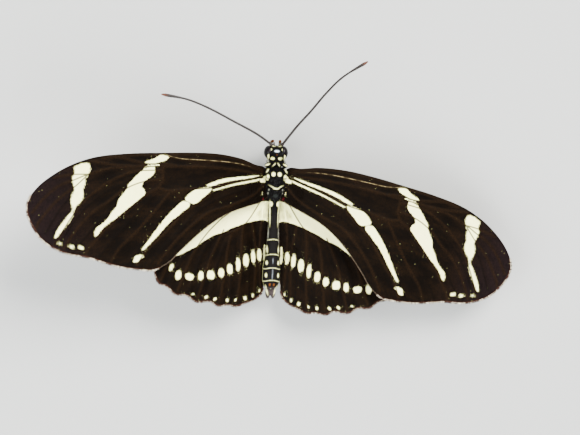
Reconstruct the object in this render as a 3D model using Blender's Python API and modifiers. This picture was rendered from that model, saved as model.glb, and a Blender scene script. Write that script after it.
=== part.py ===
"""Zebra longwing butterfly, life size, standing with its wings open.

Sizes are in millimetres and are scaled once, in metres(). The head points to -Y, the back is up,
and the butterfly's own left side is at +X. The body's long axis is the Y axis.
"""

from math import cos, hypot, pi, radians, sin

import bmesh
import bpy
from mathutils import Matrix, Vector
from mathutils.geometry import delaunay_2d_cdt

MM = 0.001
GAP = 0.3
SLIVER = 0.015

# The wing roots lie this high over the floor, and the body is placed from there.
ROOT_HEIGHT = 6.2

# Wings: membrane, the veins that stand out of both its faces, and the mesh steps.
FOREWING_SPAN = 44.0
HINDWING_SPAN = 25.5
MEMBRANE = 0.5
VEIN_RISE = 0.15
VEIN_HALF_WIDTH = 0.32
MARGIN_STEP = 1.7
VEIN_STEP = 2.4
MEMBRANE_STEP = 3.2

# Body: where each part starts and ends along Y, from the palps to the tip of the abdomen.
HEAD_FRONT = -7.0
HEAD_BACK = -4.5
THORAX_FRONT = -3.3
THORAX_BACK = 3.0
ABDOMEN_FRONT = 2.7
ABDOMEN_BACK = 18.3
TAIL_TIP = 20.1
HEAD_HALF_WIDTH = 1.18
EYES_HALF_WIDTH = 2.15
THORAX_HALF_WIDTH = 2.25
ABDOMEN_HALF_WIDTH = 1.7

ANTENNA_RADIUS = 0.25
CLUB_RADIUS = 0.46
LEG_RADIUS = 0.3
FOOT_RADIUS = 0.27
PROBOSCIS_RADIUS = 0.22
PROBOSCIS_TURNS = 1

SIDES = {"left": 1, "right": -1}

BLACK = (0.012, 0.009, 0.006)
BROWN = (0.035, 0.018, 0.009)
ORANGE_BROWN = (0.30, 0.10, 0.03)
EYE_BLACK = (0.010, 0.008, 0.012)


def metres(point):
    return Vector(point) * MM


# Scene and small tools

for old in list(bpy.data.objects):
    bpy.data.objects.remove(old, do_unlink=True)

butterfly = bpy.data.collections.new("zebra_longwing")
bpy.context.scene.collection.children.link(butterfly)

materials = {}


def finish(name, colour, roughness):
    """One Principled material for each finish, shared by the nodes that have it."""
    if name not in materials:
        material = bpy.data.materials.new(name)
        material.use_nodes = True
        shader = material.node_tree.nodes["Principled BSDF"]
        shader.inputs["Base Color"].default_value = (*colour, 1.0)
        shader.inputs["Roughness"].default_value = roughness
        material.diffuse_color = (*colour, 1.0)
        materials[name] = material
    return materials[name]


def add_object(name, mesh):
    piece = bpy.data.objects.new(name, mesh)
    butterfly.objects.link(piece)
    return piece


def from_bmesh(name, shape):
    mesh = bpy.data.meshes.new(name)
    shape.to_mesh(mesh)
    shape.free()
    return add_object(name, mesh)


def dress(piece, material, angle=35):
    piece.data.materials.clear()
    piece.data.materials.append(material)
    piece.data.shade_smooth()
    piece.data.set_sharp_from_angle(angle=radians(angle))
    return piece


def apply_modifiers(piece):
    """Keeps the shape that the modifiers give, as the piece's own mesh."""
    bpy.context.view_layer.update()
    seen = piece.evaluated_get(bpy.context.evaluated_depsgraph_get())
    shaped = bpy.data.meshes.new_from_object(seen)
    piece.modifiers.clear()
    piece.data = shaped
    return piece


def drop(piece):
    bpy.data.objects.remove(piece, do_unlink=True)


def in_order(items, key):
    """Sorts a mesh's own vertices, edges or faces, so that merging them gives one result each time."""
    rank = {item: place for place, item in enumerate(sorted(items, key=key))}
    items.sort(key=lambda item: rank[item])
    items.index_update()


def largest_shell(piece):
    """Keeps the largest closed surface of a piece, without the slivers and scraps that a cut leaves."""
    shape = bmesh.new()
    shape.from_mesh(piece.data)
    in_order(shape.verts, lambda vert: vert.co[:])
    for corners in (shape.edges, shape.faces):
        in_order(corners, lambda item: sorted(vert.index for vert in item.verts))
    bmesh.ops.remove_doubles(shape, verts=shape.verts, dist=SLIVER * MM)
    bmesh.ops.dissolve_degenerate(shape, edges=shape.edges, dist=SLIVER * MM)
    bmesh.ops.triangulate(shape, faces=shape.faces)
    bmesh.ops.dissolve_degenerate(shape, edges=shape.edges, dist=SLIVER * MM)
    bmesh.ops.triangulate(shape, faces=shape.faces)
    shells = []
    waiting = set(shape.verts)
    while waiting:
        shell = {waiting.pop()}
        edge_of_shell = set(shell)
        while edge_of_shell:
            found = {edge.other_vert(vert) for vert in edge_of_shell for edge in vert.link_edges}
            edge_of_shell = found - shell
            shell |= edge_of_shell
        waiting -= shell
        shells.append(shell)
    scraps = [vert for shell in sorted(shells, key=len)[:-1] for vert in shell]
    bmesh.ops.delete(shape, geom=scraps, context="VERTS")
    shape.to_mesh(piece.data)
    shape.free()
    return piece


def fuse(name, pieces):
    """Joins closed pieces into one closed node."""
    group = bpy.data.collections.new("fused")
    bpy.context.scene.collection.children.link(group)
    for piece in pieces[1:]:
        butterfly.objects.unlink(piece)
        group.objects.link(piece)
    base = pieces[0]
    base.name = name
    join = base.modifiers.new("join", "BOOLEAN")
    join.operation = "UNION"
    join.operand_type = "COLLECTION"
    join.collection = group
    join.solver = "EXACT"
    apply_modifiers(base)
    for piece in list(group.objects):
        drop(piece)
    bpy.data.collections.remove(group)
    return largest_shell(base)


def clear_of(piece, *neighbours):
    """Cuts a piece back until it meets each neighbour face to face, with the gap between them."""
    for forms in neighbours:
        for cutter in forms(GAP):
            cut = piece.modifiers.new("cut", "BOOLEAN")
            cut.operation = "DIFFERENCE"
            cut.object = cutter
            cut.solver = "MANIFOLD"
            apply_modifiers(piece)
            drop(cutter)
    return largest_shell(piece)


def ellipsoid(name, centre, half_sizes, grow=0.0, turn=0.0, around=20, rings=12):
    """An egg shape from a sphere, grown by a margin on every side and tipped about X by degrees."""
    shape = bmesh.new()
    bmesh.ops.create_uvsphere(shape, u_segments=around, v_segments=rings, radius=MM)
    stretch = Matrix.Diagonal((*(size + grow for size in half_sizes), 1.0))
    tip = Matrix.Rotation(radians(turn), 4, "X")
    bmesh.ops.transform(shape, matrix=Matrix.Translation(metres(centre)) @ tip @ stretch, verts=shape.verts)
    return from_bmesh(name, shape)


def tube(name, points, radii, resolution=2):
    """A limb or a feeler: a round tube along points, with its own radius at each of them."""
    path = bpy.data.curves.new(name, "CURVE")
    path.dimensions = "3D"
    path.bevel_depth = MM
    path.bevel_resolution = resolution
    path.use_fill_caps = True
    line = path.splines.new("POLY")
    line.points.add(len(points) - 1)
    for node, point, radius in zip(line.points, points, radii):
        node.co = (*metres(point), 1.0)
        node.radius = radius
    guide = add_object(name, path)
    bpy.context.view_layer.update()
    mesh = bpy.data.meshes.new_from_object(guide.evaluated_get(bpy.context.evaluated_depsgraph_get()))
    drop(guide)
    shape = bmesh.new()
    shape.from_mesh(mesh)
    bmesh.ops.remove_doubles(shape, verts=shape.verts, dist=0.001 * MM)
    bmesh.ops.recalc_face_normals(shape, faces=shape.faces)
    return from_bmesh(name, shape)


def smooth_line(points, step, closed=False):
    """Points about one step apart on a smooth curve through the given points."""
    given = [Vector(point) for point in points]
    count = len(given)
    line = []
    for index in range(count if closed else count - 1):
        if closed:
            before, start, end, after = (given[(index + offset) % count] for offset in (-1, 0, 1, 2))
        else:
            start, end = given[index], given[index + 1]
            before = given[index - 1] if index else start * 2 - end
            after = given[index + 2] if index + 2 < count else end * 2 - start
        pieces = max(1, round((end - start).length / step))
        for piece in range(pieces):
            t = piece / pieces
            line.append(
                (
                    start * 2
                    + (end - before) * t
                    + (before * 2 - start * 5 + end * 4 - after) * t * t
                    + (start * 3 - before - end * 3 + after) * t**3
                )
                / 2
            )
    if not closed:
        line.append(given[-1])
    return line


def loft(name, stations, grow=0.0, around=24):
    """A closed form through unlike sections across Y: (y, half width, top, bottom) from the wing roots."""
    shape = bmesh.new()
    rings = []
    centre = (stations[0][0] + stations[-1][0]) / 2
    longer = 1 + 2 * grow / (stations[-1][0] - stations[0][0])
    for station, half_width, top, bottom in stations:
        y = centre + (station - centre) * longer
        half_width += grow
        middle = (top + bottom) / 2
        half_height = (top - bottom) / 2 + grow
        ring = []
        for index in range(around):
            angle = 2 * pi * index / around
            height = ROOT_HEIGHT + middle + half_height * sin(angle)
            ring.append(shape.verts.new(metres((half_width * cos(angle), y, height))))
        rings.append(ring)
    for ring, following in zip(rings, rings[1:]):
        for index in range(around):
            beside = (index + 1) % around
            shape.faces.new((ring[index], ring[beside], following[beside], following[index]))
    for ring in (rings[0], rings[-1]):
        bmesh.ops.contextual_create(shape, geom=ring)
    bmesh.ops.recalc_face_normals(shape, faces=shape.faces)
    return from_bmesh(name, shape)


# Thorax, collar and head

body_black = finish("body_black", BLACK, 0.55)
leg_brown = finish("leg_brown", BROWN, 0.5)
palp_orange = finish("palp_orange", ORANGE_BROWN, 0.6)
eye_black = finish("eye_black", EYE_BLACK, 0.2)


def thorax_forms(grow=0.0):
    wide = THORAX_HALF_WIDTH
    stations = [
        (THORAX_FRONT, wide * 0.45, 0.5, -1.6),
        (THORAX_FRONT + 0.3, wide * 0.72, 1.1, -2.5),
        (THORAX_FRONT + 1.0, wide * 0.90, 1.7, -3.2),
        (THORAX_FRONT + 2.0, wide * 0.99, 2.05, -3.7),
        (THORAX_FRONT + 3.2, wide, 2.15, -3.85),
        (THORAX_FRONT + 4.3, wide * 0.94, 1.9, -3.75),
        (THORAX_FRONT + 5.2, wide * 0.80, 1.45, -3.2),
        (THORAX_BACK - 0.4, wide * 0.60, 1.05, -2.3),
        (THORAX_BACK, wide * 0.40, 0.7, -1.5),
    ]
    forms = [loft("thorax", stations, grow)]
    forms.append(ellipsoid("scutellum", (0, THORAX_BACK - 2.0, ROOT_HEIGHT + 1.25), (1.25, 0.8, 0.7), grow))
    for side in SIDES.values():
        forms.append(ellipsoid("tegula", (side * 1.4, -2.0, ROOT_HEIGHT + 1.65), (0.75, 0.95, 0.4), grow))
    return forms


HEAD_MIDDLE = (HEAD_FRONT + HEAD_BACK) / 2
HEAD_HALF_LENGTH = (HEAD_BACK - HEAD_FRONT) / 2
HEAD_HEIGHT = ROOT_HEIGHT - 0.15
ANTENNA_SOCKET = (0.80, HEAD_FRONT + 0.3, 0.75)


def head_forms(grow=0.0):
    skull = (HEAD_HALF_WIDTH, HEAD_HALF_LENGTH, 1.45)
    forms = [ellipsoid("head", (0, HEAD_MIDDLE, HEAD_HEIGHT), skull, grow)]
    forms.append(ellipsoid("muzzle", (0, HEAD_MIDDLE - 0.35, HEAD_HEIGHT - 0.75), (0.85, 0.95, 0.85), grow))
    forms.append(ellipsoid("brow", (0, HEAD_FRONT + 0.55, HEAD_HEIGHT + 0.75), (0.95, 0.5, 0.55), grow))
    x, y, z = ANTENNA_SOCKET
    for side in SIDES.values():
        place = (side * x, y, HEAD_HEIGHT + z)
        forms.append(ellipsoid("socket", place, (0.4, 0.4, 0.4), grow, around=12, rings=8))
    return forms


def collar_forms(grow=0.0):
    middle = (HEAD_BACK + THORAX_FRONT) / 2
    forms = [ellipsoid("prothorax", (0, middle, ROOT_HEIGHT - 0.3), (1.45, 0.85, 1.75), grow)]
    for side in SIDES.values():
        place = (side * 0.85, middle, ROOT_HEIGHT + 0.85)
        forms.append(ellipsoid("patagium", place, (0.85, 0.62, 0.62), grow))
    return forms


head = fuse("head", head_forms())
prothorax = clear_of(fuse("prothorax", collar_forms()), head_forms)
thorax = clear_of(fuse("thorax", thorax_forms()), collar_forms)
for node in (head, prothorax, thorax):
    dress(node, body_black)

# Eyes, palps, proboscis and antennae

for word, side in SIDES.items():
    eye_centre = (side * (EYES_HALF_WIDTH - 1.15), HEAD_MIDDLE - 0.05, HEAD_HEIGHT - 0.05)
    eye = ellipsoid(f"eye_{word}", eye_centre, (1.15, 1.18, 1.42), around=24, rings=16)
    dress(clear_of(eye, head_forms, collar_forms), eye_black)

PALP_RADIUS = 0.3
for word, side in SIDES.items():
    bend = [
        (side * 0.70, HEAD_FRONT + 1.0, HEAD_HEIGHT - 1.2),
        (side * 0.82, HEAD_FRONT + 0.2, HEAD_HEIGHT - 1.6),
        (side * 0.80, HEAD_FRONT - 0.45, HEAD_HEIGHT - 1.0),
        (side * 0.68, HEAD_FRONT - 0.72, HEAD_HEIGHT - 0.2),
        (side * 0.60, HEAD_FRONT - 0.75, HEAD_HEIGHT + 0.5),
    ]
    line = smooth_line(bend, 0.4)
    girth = [PALP_RADIUS * (1 - 0.4 * (index / (len(line) - 1)) ** 3) for index in range(len(line))]
    palp = tube(f"palp_{word}", line, girth)
    dress(clear_of(palp, head_forms), palp_orange)

# The drinking tube is wound flat in the middle plane, under the head, with its turns clear of each other.
coil_y, coil_z = HEAD_FRONT + 0.25, HEAD_HEIGHT - 3.0
coil_pitch = 2 * PROBOSCIS_RADIUS + GAP + 0.02
turn_steps = 16
coil = []
for index in range(round(PROBOSCIS_TURNS * turn_steps) + 1):
    angle = 2 * pi * index / turn_steps
    reach = 0.3 + coil_pitch * angle / (2 * pi)
    coil.append((0.0, coil_y + reach * sin(angle), coil_z + reach * cos(angle)))
coil.append((0.0, coil_y + 0.45, HEAD_HEIGHT - 1.75))
coil.append((0.0, coil_y + 0.65, HEAD_HEIGHT - 1.3))
proboscis = tube("proboscis", coil, [PROBOSCIS_RADIUS] * len(coil))
dress(clear_of(proboscis, head_forms), leg_brown)

# Each antenna runs out from its socket and ends in a long slim club.
ANTENNA_ROUTES = {
    "left": [
        (0.84, -7.2, 0.85), (3.9, -8.9, 1.6), (7.9, -10.8, 2.3),
        (12.4, -12.9, 2.9), (16.4, -14.3, 3.3), (21.0, -15.0, 3.6),
    ],
    "right": [
        (-0.84, -7.2, 0.85), (-3.3, -10.4, 1.7), (-5.7, -13.3, 2.4),
        (-8.2, -16.5, 2.9), (-11.0, -19.4, 3.3), (-15.3, -22.3, 3.6),
    ],
}
CLUB_SHARE = 0.16
for word, route in ANTENNA_ROUTES.items():
    line = smooth_line([(x, y, ROOT_HEIGHT + z) for x, y, z in route], 0.9)
    girth = []
    for index in range(len(line)):
        along = index / (len(line) - 1)
        club = max(0.0, (along - 1 + CLUB_SHARE) / CLUB_SHARE)
        swell = sin(pi * min(1.0, club * 1.02)) ** 0.8 if club else 0.0
        girth.append(ANTENNA_RADIUS + (CLUB_RADIUS - ANTENNA_RADIUS) * swell)
    girth[-1] = ANTENNA_RADIUS * 0.7
    antenna = tube(f"antenna_{word}", line, girth)
    dress(clear_of(antenna, head_forms), leg_brown)

# Abdomen: turned segments, each a little wider behind its own front edge, and two claspers at the tip.
ABDOMEN_DROOP = 0.9
SEGMENT_ENDS = [ABDOMEN_FRONT, 5.2, 7.0, 9.8, 12.4, 14.8, 17.0, ABDOMEN_BACK]
SEGMENT_WIDTHS = [0.55, 0.52, 0.58, 0.64, 0.80, 0.97, 0.95, 0.66]
SEGMENT_STEP = 0.06
ABDOMEN_DEPTH = 1.12


def droop(y):
    """How far the abdomen's axis has sunk below the wing roots at y."""
    along = max(0.0, (y - ABDOMEN_FRONT) / (TAIL_TIP - ABDOMEN_FRONT))
    return 0.35 + ABDOMEN_DROOP * along**1.6


def abdomen_forms(grow=0.0):
    """The turned segments, then flattened a little and laid along the drooping axis."""
    profile = [(ABDOMEN_FRONT - grow, 0.0)]
    for index, (start, end) in enumerate(zip(SEGMENT_ENDS, SEGMENT_ENDS[1:])):
        front = SEGMENT_WIDTHS[index] * ABDOMEN_HALF_WIDTH + grow
        back = SEGMENT_WIDTHS[index + 1] * ABDOMEN_HALF_WIDTH + grow
        profile.append((start + 0.02, front - SEGMENT_STEP))
        profile.append((start + (end - start) * 0.4, (front * 0.6 + back * 0.4) + SEGMENT_STEP * 0.6))
        profile.append((end - 0.12, back + SEGMENT_STEP))
    profile.append((ABDOMEN_BACK + grow, SEGMENT_WIDTHS[-1] * ABDOMEN_HALF_WIDTH * 0.7 + grow))
    profile.append((ABDOMEN_BACK + grow, 0.0))
    shape = bmesh.new()
    line = [shape.verts.new(metres((radius, y, 0))) for y, radius in profile]
    for pair in zip(line, line[1:]):
        shape.edges.new(pair)
    turned = from_bmesh("abdomen", shape)
    screw = turned.modifiers.new("turn", "SCREW")
    screw.axis = "Y"
    screw.steps = 20
    screw.render_steps = 20
    screw.use_merge_vertices = True
    screw.merge_threshold = 0.002 * MM
    screw.use_normal_calculate = True
    apply_modifiers(turned)
    shape = bmesh.new()
    shape.from_mesh(turned.data)
    bmesh.ops.recalc_face_normals(shape, faces=shape.faces)
    for vert in shape.verts:
        vert.co.z = vert.co.z * ABDOMEN_DEPTH + (ROOT_HEIGHT - droop(vert.co.y / MM)) * MM
    shape.to_mesh(turned.data)
    shape.free()
    return [turned]


def middle_slot(grow=0.0):
    """The cut between the two claspers."""
    return [ellipsoid("slot", (0, TAIL_TIP, ROOT_HEIGHT - 1.2), (0.0, 3.0, 3.0), grow / 2, around=8, rings=6)]


abdomen = abdomen_forms()[0]
dress(clear_of(abdomen, thorax_forms), body_black)

for word, side in SIDES.items():
    clasper_centre = (side * 0.42, (ABDOMEN_BACK + TAIL_TIP) / 2 - 0.25, ROOT_HEIGHT - droop(TAIL_TIP))
    clasper = ellipsoid(f"clasper_{word}", clasper_centre, (0.62, 1.15, 0.85), around=16, rings=10)
    dress(clear_of(clasper, abdomen_forms, middle_slot), body_black)

# Legs: two small folded forelegs, and four walking legs that stand on small flats at floor level.

FOLDED_FORELEG = [
    (0.7, -2.3, -2.7), (0.75, -3.0, -3.5), (0.8, -4.0, -3.3), (0.8, -4.9, -2.7), (0.78, -5.5, -2.35),
]
MIDLEG = [
    (0.95, -0.7, 2.9), (2.0, -0.9, 2.2), (4.3, -1.2, 4.0),
    (6.9, -1.7, 0.75), (7.7, -1.85, 0.24), (9.4, -2.1, 0.18),
]
HINDLEG = [
    (0.95, 1.2, 2.9), (1.8, 1.9, 2.1), (3.5, 5.4, 4.2),
    (5.6, 10.3, 0.75), (5.9, 11.1, 0.24), (6.7, 14.0, 0.18),
]
LEG_GIRTH = [0.42, 0.38, LEG_RADIUS, LEG_RADIUS, FOOT_RADIUS, 0.25]
FORELEG_RADIUS = 0.26


def stand_on_floor(piece):
    """Cuts the underside of a foot off flat, level with the floor."""
    shape = bmesh.new()
    shape.from_mesh(piece.data)
    everything = [*shape.verts, *shape.edges, *shape.faces]
    cut = bmesh.ops.bisect_plane(
        shape, geom=everything, plane_co=(0, 0, 0), plane_no=(0, 0, -1), clear_outer=True, dist=0.001 * MM
    )
    rim = [edge for edge in cut["geom_cut"] if isinstance(edge, bmesh.types.BMEdge)]
    bmesh.ops.holes_fill(shape, edges=rim)
    bmesh.ops.recalc_face_normals(shape, faces=shape.faces)
    shape.to_mesh(piece.data)
    shape.free()


for word, side in SIDES.items():
    folded = smooth_line([(side * x, y, ROOT_HEIGHT + z) for x, y, z in FOLDED_FORELEG], 0.5)
    foreleg = tube(f"foreleg_{word}", folded, [FORELEG_RADIUS] * len(folded))
    dress(clear_of(foreleg, thorax_forms, collar_forms, head_forms), leg_brown)
    for leg_name, joints in (("midleg", MIDLEG), ("hindleg", HINDLEG)):
        leg = tube(f"{leg_name}_{word}", [(side * x, y, z) for x, y, z in joints], LEG_GIRTH)
        clear_of(leg, thorax_forms)
        stand_on_floor(leg)
        dress(leg, leg_brown)

# Wings. Each is drawn flat, with u out from the root to the tip and v forward, then arched along u,
# pitched, raised and swept back about its root.

FOREWING_OUTLINE = [
    (-1.0, 1.0), (1.6, 2.2), (4.8, 3.6), (9.3, 4.8), (14.0, 5.5), (19.7, 6.05), (25.0, 6.5), (30.4, 6.6),
    (34.2, 6.05), (37.6, 4.95), (41.0, 3.15), (43.2, 1.2), (FOREWING_SPAN, -0.4), (43.95, -2.4),
    (43.1, -4.7), (41.9, -6.6), (39.9, -8.25), (37.7, -9.35), (34.4, -10.35), (32.0, -11.4),
    (29.3, -12.5), (26.6, -13.2), (23.9, -13.75), (22.4, -13.5), (20.3, -12.5), (18.2, -10.85),
    (14.3, -8.2), (11.0, -6.5), (8.0, -5.5), (4.3, -4.9), (1.2, -4.5), (-1.0, -3.6),
]
FOREWING_VEINS = {
    "subcosta": [(0.0, 0.7), (3.0, 2.0), (7.0, 3.1), (12.8, 4.1), (16.5, 4.7), (19.3, 5.6)],
    "radius": [
        (0.0, 0.2), (6.0, 1.7), (12.0, 2.8), (17.0, 3.4), (24.7, 4.2), (29.0, 4.4), (33.0, 3.75), (35.7, 3.0),
    ],
    "radius_1": [(17.0, 3.4), (20.0, 4.2), (22.7, 4.5), (27.5, 6.1)],
    "radius_2": [(24.7, 4.2), (28.5, 4.9), (32.6, 6.0)],
    "radius_3": [(33.0, 3.75), (36.0, 4.0), (39.0, 3.8)],
    "radius_4": [(35.7, 3.0), (38.3, 2.3), (41.0, 0.5), (43.3, -1.7)],
    "radius_5": [(33.0, 3.75), (35.4, 2.0), (38.1, 0.4), (40.1, -1.2), (42.2, -3.3), (42.8, -4.3)],
    "media_1": [
        (20.1, 3.1), (24.7, 3.4), (28.3, 2.6), (31.3, 1.2), (34.1, -0.6), (37.0, -3.6), (40.0, -7.5),
    ],
    "media_2": [
        (20.2, 1.6), (23.6, 1.5), (26.9, 0.6), (30.2, -1.3), (33.2, -2.9), (36.4, -5.8), (38.5, -8.3),
    ],
    "media_3": [(21.1, 0.2), (23.7, -0.9), (27.0, -3.1), (30.7, -5.5), (32.3, -6.9), (35.0, -9.6)],
    "cell_end": [(19.6, 3.7), (20.1, 3.1), (20.2, 1.6), (21.1, 0.2)],
    "cubitus": [(0.0, -0.3), (6.4, -0.3), (11.3, -0.9), (16.2, -0.6), (19.5, -0.5), (21.1, 0.2)],
    "cubitus_1": [(18.3, -0.55), (19.6, -1.2), (21.4, -2.9), (25.5, -6.7), (28.9, -9.3), (30.6, -11.4)],
    "cubitus_2": [
        (11.3, -0.9), (11.9, -2.0), (14.9, -3.5), (17.2, -4.7), (20.7, -7.6), (24.3, -10.3), (26.3, -12.6),
    ],
    "anal": [
        (0.0, -1.6), (3.0, -3.2), (8.3, -4.4), (12.2, -5.0), (15.2, -6.5), (19.0, -9.2), (22.6, -12.7),
    ],
}
HINDWING_OUTLINE = [
    (-1.0, 1.0), (3.0, 3.6), (7.5, 6.2), (12.5, 7.7), (17.5, 8.1), (21.5, 7.5), (24.2, 6.1),
    (HINDWING_SPAN, 3.7), (24.95, 2.0), (24.9, 0.0), (23.65, -1.6), (23.3, -3.6), (21.6, -5.3), (21.15, -6.9),
    (19.8, -8.1), (18.9, -9.4), (17.3, -10.2), (15.9, -10.95), (14.3, -11.25), (13.1, -10.85),
    (12.1, -10.2), (10.9, -9.45), (7.35, -6.85), (3.55, -4.15), (1.15, -2.3), (-1.0, -1.6),
]
HINDWING_VEINS = {
    "subcosta": [(0.0, 0.3), (3.5, 2.6), (10.0, 6.0), (17.0, 7.0), (23.2, 5.9)],
    "radius": [(0.0, 0.0), (5.0, 1.9), (9.2, 2.9)],
    "radial_sector": [(5.0, 1.9), (9.5, 4.1), (15.5, 5.0), (21.5, 4.6), (25.0, 3.6)],
    "media_1": [(9.2, 2.9), (13.0, 3.1), (17.5, 2.6), (21.7, 1.1), (24.3, 0.2)],
    "cell_end": [(9.2, 2.9), (10.4, 1.3), (9.8, -0.1)],
    "media_2": [(10.4, 1.3), (13.3, 0.5), (16.3, -0.4), (18.9, -1.6), (22.7, -3.3)],
    "media_3": [(9.8, -0.1), (13.0, -1.8), (15.7, -3.7), (20.6, -6.6)],
    "cubitus": [(0.3, -0.3), (1.9, -0.5), (6.5, -0.9), (9.8, -0.1)],
    "cubitus_1": [(7.2, -0.9), (9.7, -2.6), (12.5, -4.9), (18.3, -9.0)],
    "cubitus_2": [(4.6, -0.7), (7.0, -3.4), (9.6, -6.1), (15.4, -10.5)],
    "anal": [(0.3, -0.6), (3.2, -2.4), (7.4, -5.2), (13.3, -10.4)],
}


def arch(u, rise, droop_angle, reach):
    """Out and up along an arched span: its slope turns from rise at the root to droop past reach."""
    out, up, steps = 0.0, 0.0, 40
    if u < 0:
        return u * cos(rise), u * sin(rise)
    for index in range(steps):
        share = min(1.0, u * (index + 0.5) / steps / reach)
        ease = share * share * (3 - 2 * share)
        slope = rise * (1 - ease) - droop_angle * ease
        out += cos(slope) * u / steps
        up += sin(slope) * u / steps
    return out, up


WING_PAIRS = {
    "forewing": {
        "outline": FOREWING_OUTLINE,
        "veins": FOREWING_VEINS,
        "root": (2.35, -1.49, 0.89),
        "rise": 23.5, "droop": 3.4, "reach": 25.0, "pitch": 2.5,
        "dihedral": {"left": 11.1, "right": -5.1},
        "sweep": {"left": 8.4, "right": 19.4},
        "tucked": False,
    },
    "hindwing": {
        "outline": HINDWING_OUTLINE,
        "veins": HINDWING_VEINS,
        "root": (2.07, 1.82, -0.7),
        "rise": 15.5, "droop": 2.5, "reach": 30.0, "pitch": 4.0,
        "dihedral": {"left": 9.5, "right": -5.7},
        "sweep": {"left": 48.2, "right": 50.9},
        "tucked": True,
    },
}


# The hindwings' inner parts bend down to the abdomen's flanks: how far from the body's middle the bend
# starts, how wide it is, its height under the wing roots there, and how that falls towards the tail.
# They bend along a line that leans a little to the left.
TUCK_START = 1.0
TUCK_WIDTH = 5.0
TUCK_LEVEL = 0.85
TUCK_FALL = 0.05
TUCK_LEAN = 0.14


def tucked_height(place, pair, word):
    """The height of a hindwing that rises with the distance from the body and hugs the abdomen."""
    dihedral = pair["dihedral"][word]
    distance = place.x - pair["root"][0]
    _, up = arch(distance, radians(pair["rise"] + dihedral), radians(pair["droop"] - dihedral), pair["reach"])
    free = pair["root"][2] + up
    hugging = -TUCK_LEVEL - TUCK_FALL * (place.y - THORAX_BACK)
    share = max(0.0, min(1.0, (place.x - TUCK_START) / TUCK_WIDTH))
    return hugging + (free - hugging) * share * share * (3 - 2 * share)


def wing_place(point, pair, word):
    """Takes a flat wing point (u, v) to its place on the butterfly."""
    out, up = arch(point[0], radians(pair["rise"]), radians(pair["droop"]), pair["reach"])
    place = Vector((out, -point[1], up))
    place.rotate(Matrix.Rotation(radians(-pair["pitch"]), 3, "X"))
    place.rotate(Matrix.Rotation(radians(-pair["dihedral"][word]), 3, "Y"))
    place.rotate(Matrix.Rotation(radians(pair["sweep"][word]), 3, "Z"))
    place += Vector(pair["root"])
    height = tucked_height(place, pair, word) if pair["tucked"] else place.z
    across = SIDES[word] * place.x + TUCK_LEAN * (height - place.z)
    return Vector((across, place.y, ROOT_HEIGHT + height))


def beside(line, distance):
    """The line moved sideways in its own plane."""
    moved = []
    for index, point in enumerate(line):
        ahead = line[min(index + 1, len(line) - 1)]
        behind = line[max(index - 1, 0)]
        along = (ahead - behind).normalized()
        moved.append(point + Vector((-along.y, along.x)) * distance)
    return moved


def distance_to(point, lines):
    nearest = 1e9
    for line in lines:
        for start, end in zip(line, line[1:]):
            run = end - start
            share = max(0.0, min(1.0, (point - start).dot(run) / run.length_squared))
            nearest = min(nearest, (point - start - run * share).length)
    return nearest


def wing(pair_name, word):
    """One wing: a membrane over its outline, split along every vein, with the veins thicker than the rest."""
    pair = WING_PAIRS[pair_name]
    margin = smooth_line(pair["outline"], MARGIN_STEP, closed=True)
    crests = [smooth_line(vein, VEIN_STEP) for vein in pair["veins"].values()]
    lines = [margin + margin[:1]]
    for crest in crests:
        lines += [crest, beside(crest, VEIN_HALF_WIDTH), beside(crest, -VEIN_HALF_WIDTH)]
    points, edges = [], []
    for line in lines:
        first = len(points)
        points += line
        edges += [(first + index, first + index + 1) for index in range(len(line) - 1)]
    across = [point.x for point in margin]
    along = [point.y for point in margin]
    columns = round((max(across) - min(across)) / MEMBRANE_STEP)
    rows = round((max(along) - min(along)) / MEMBRANE_STEP)
    for column in range(columns):
        for row in range(rows):
            stagger = column % 2 / 2
            out, forward = column * MEMBRANE_STEP, (row + stagger) * MEMBRANE_STEP
            spot = Vector((min(across) + out, min(along) + forward))
            if distance_to(spot, lines) > MEMBRANE_STEP * 0.35:
                points.append(spot)
    flat, _, triangles, *_ = delaunay_2d_cdt(points, edges, [], 1, 0.02)
    shape = bmesh.new()
    corners = [shape.verts.new(metres(wing_place(point, pair, word))) for point in flat]
    for triangle in triangles:
        order = triangle if SIDES[word] > 0 else triangle[::-1]
        shape.faces.new([corners[index] for index in order])
    loose = [vert for vert in shape.verts if not vert.link_faces]
    kept = [index for index, vert in enumerate(shape.verts) if vert.link_faces]
    bmesh.ops.delete(shape, geom=loose, context="VERTS")
    bmesh.ops.recalc_face_normals(shape, faces=shape.faces)
    piece = from_bmesh(f"{pair_name}_{word}", shape)
    depth = piece.vertex_groups.new(name="depth")
    full = MEMBRANE + 2 * VEIN_RISE
    for place, index in enumerate(kept):
        point = flat[index]
        ridge = max(0.0, 1 - distance_to(point, crests) / VEIN_HALF_WIDTH)
        taper = 1 - 0.5 * hypot(*point) / FOREWING_SPAN
        depth.add([place], (MEMBRANE + 2 * VEIN_RISE * ridge * taper) / full, "REPLACE")
    thicken = piece.modifiers.new("membrane", "SOLIDIFY")
    thicken.thickness = full * MM
    thicken.offset = 0.0
    thicken.vertex_group = "depth"
    apply_modifiers(piece)
    clear_of(piece, thorax_forms, abdomen_forms)
    return dress(piece, body_black, angle=60)


for pair_name in WING_PAIRS:
    for word in SIDES:
        wing(pair_name, word)

# The whole butterfly stands with the middle of its box over the origin, at floor level.

bpy.context.view_layer.update()
corners = [node.matrix_world @ Vector(corner) for node in butterfly.objects for corner in node.bound_box]
middle = [(min(c[axis] for c in corners) + max(c[axis] for c in corners)) / 2 for axis in (0, 1)]
stand_point = bpy.data.objects.new("stand_point", None)
butterfly.objects.link(stand_point)
for node in list(butterfly.objects):
    if node is not stand_point:
        node.parent = stand_point
stand_point.location = (-middle[0], -middle[1], 0.0)
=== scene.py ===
from math import cos, pi, radians, sin

import bmesh
import bpy
import numpy as np
from mathutils import Matrix, Vector
from mathutils.geometry import delaunay_2d_cdt


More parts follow.
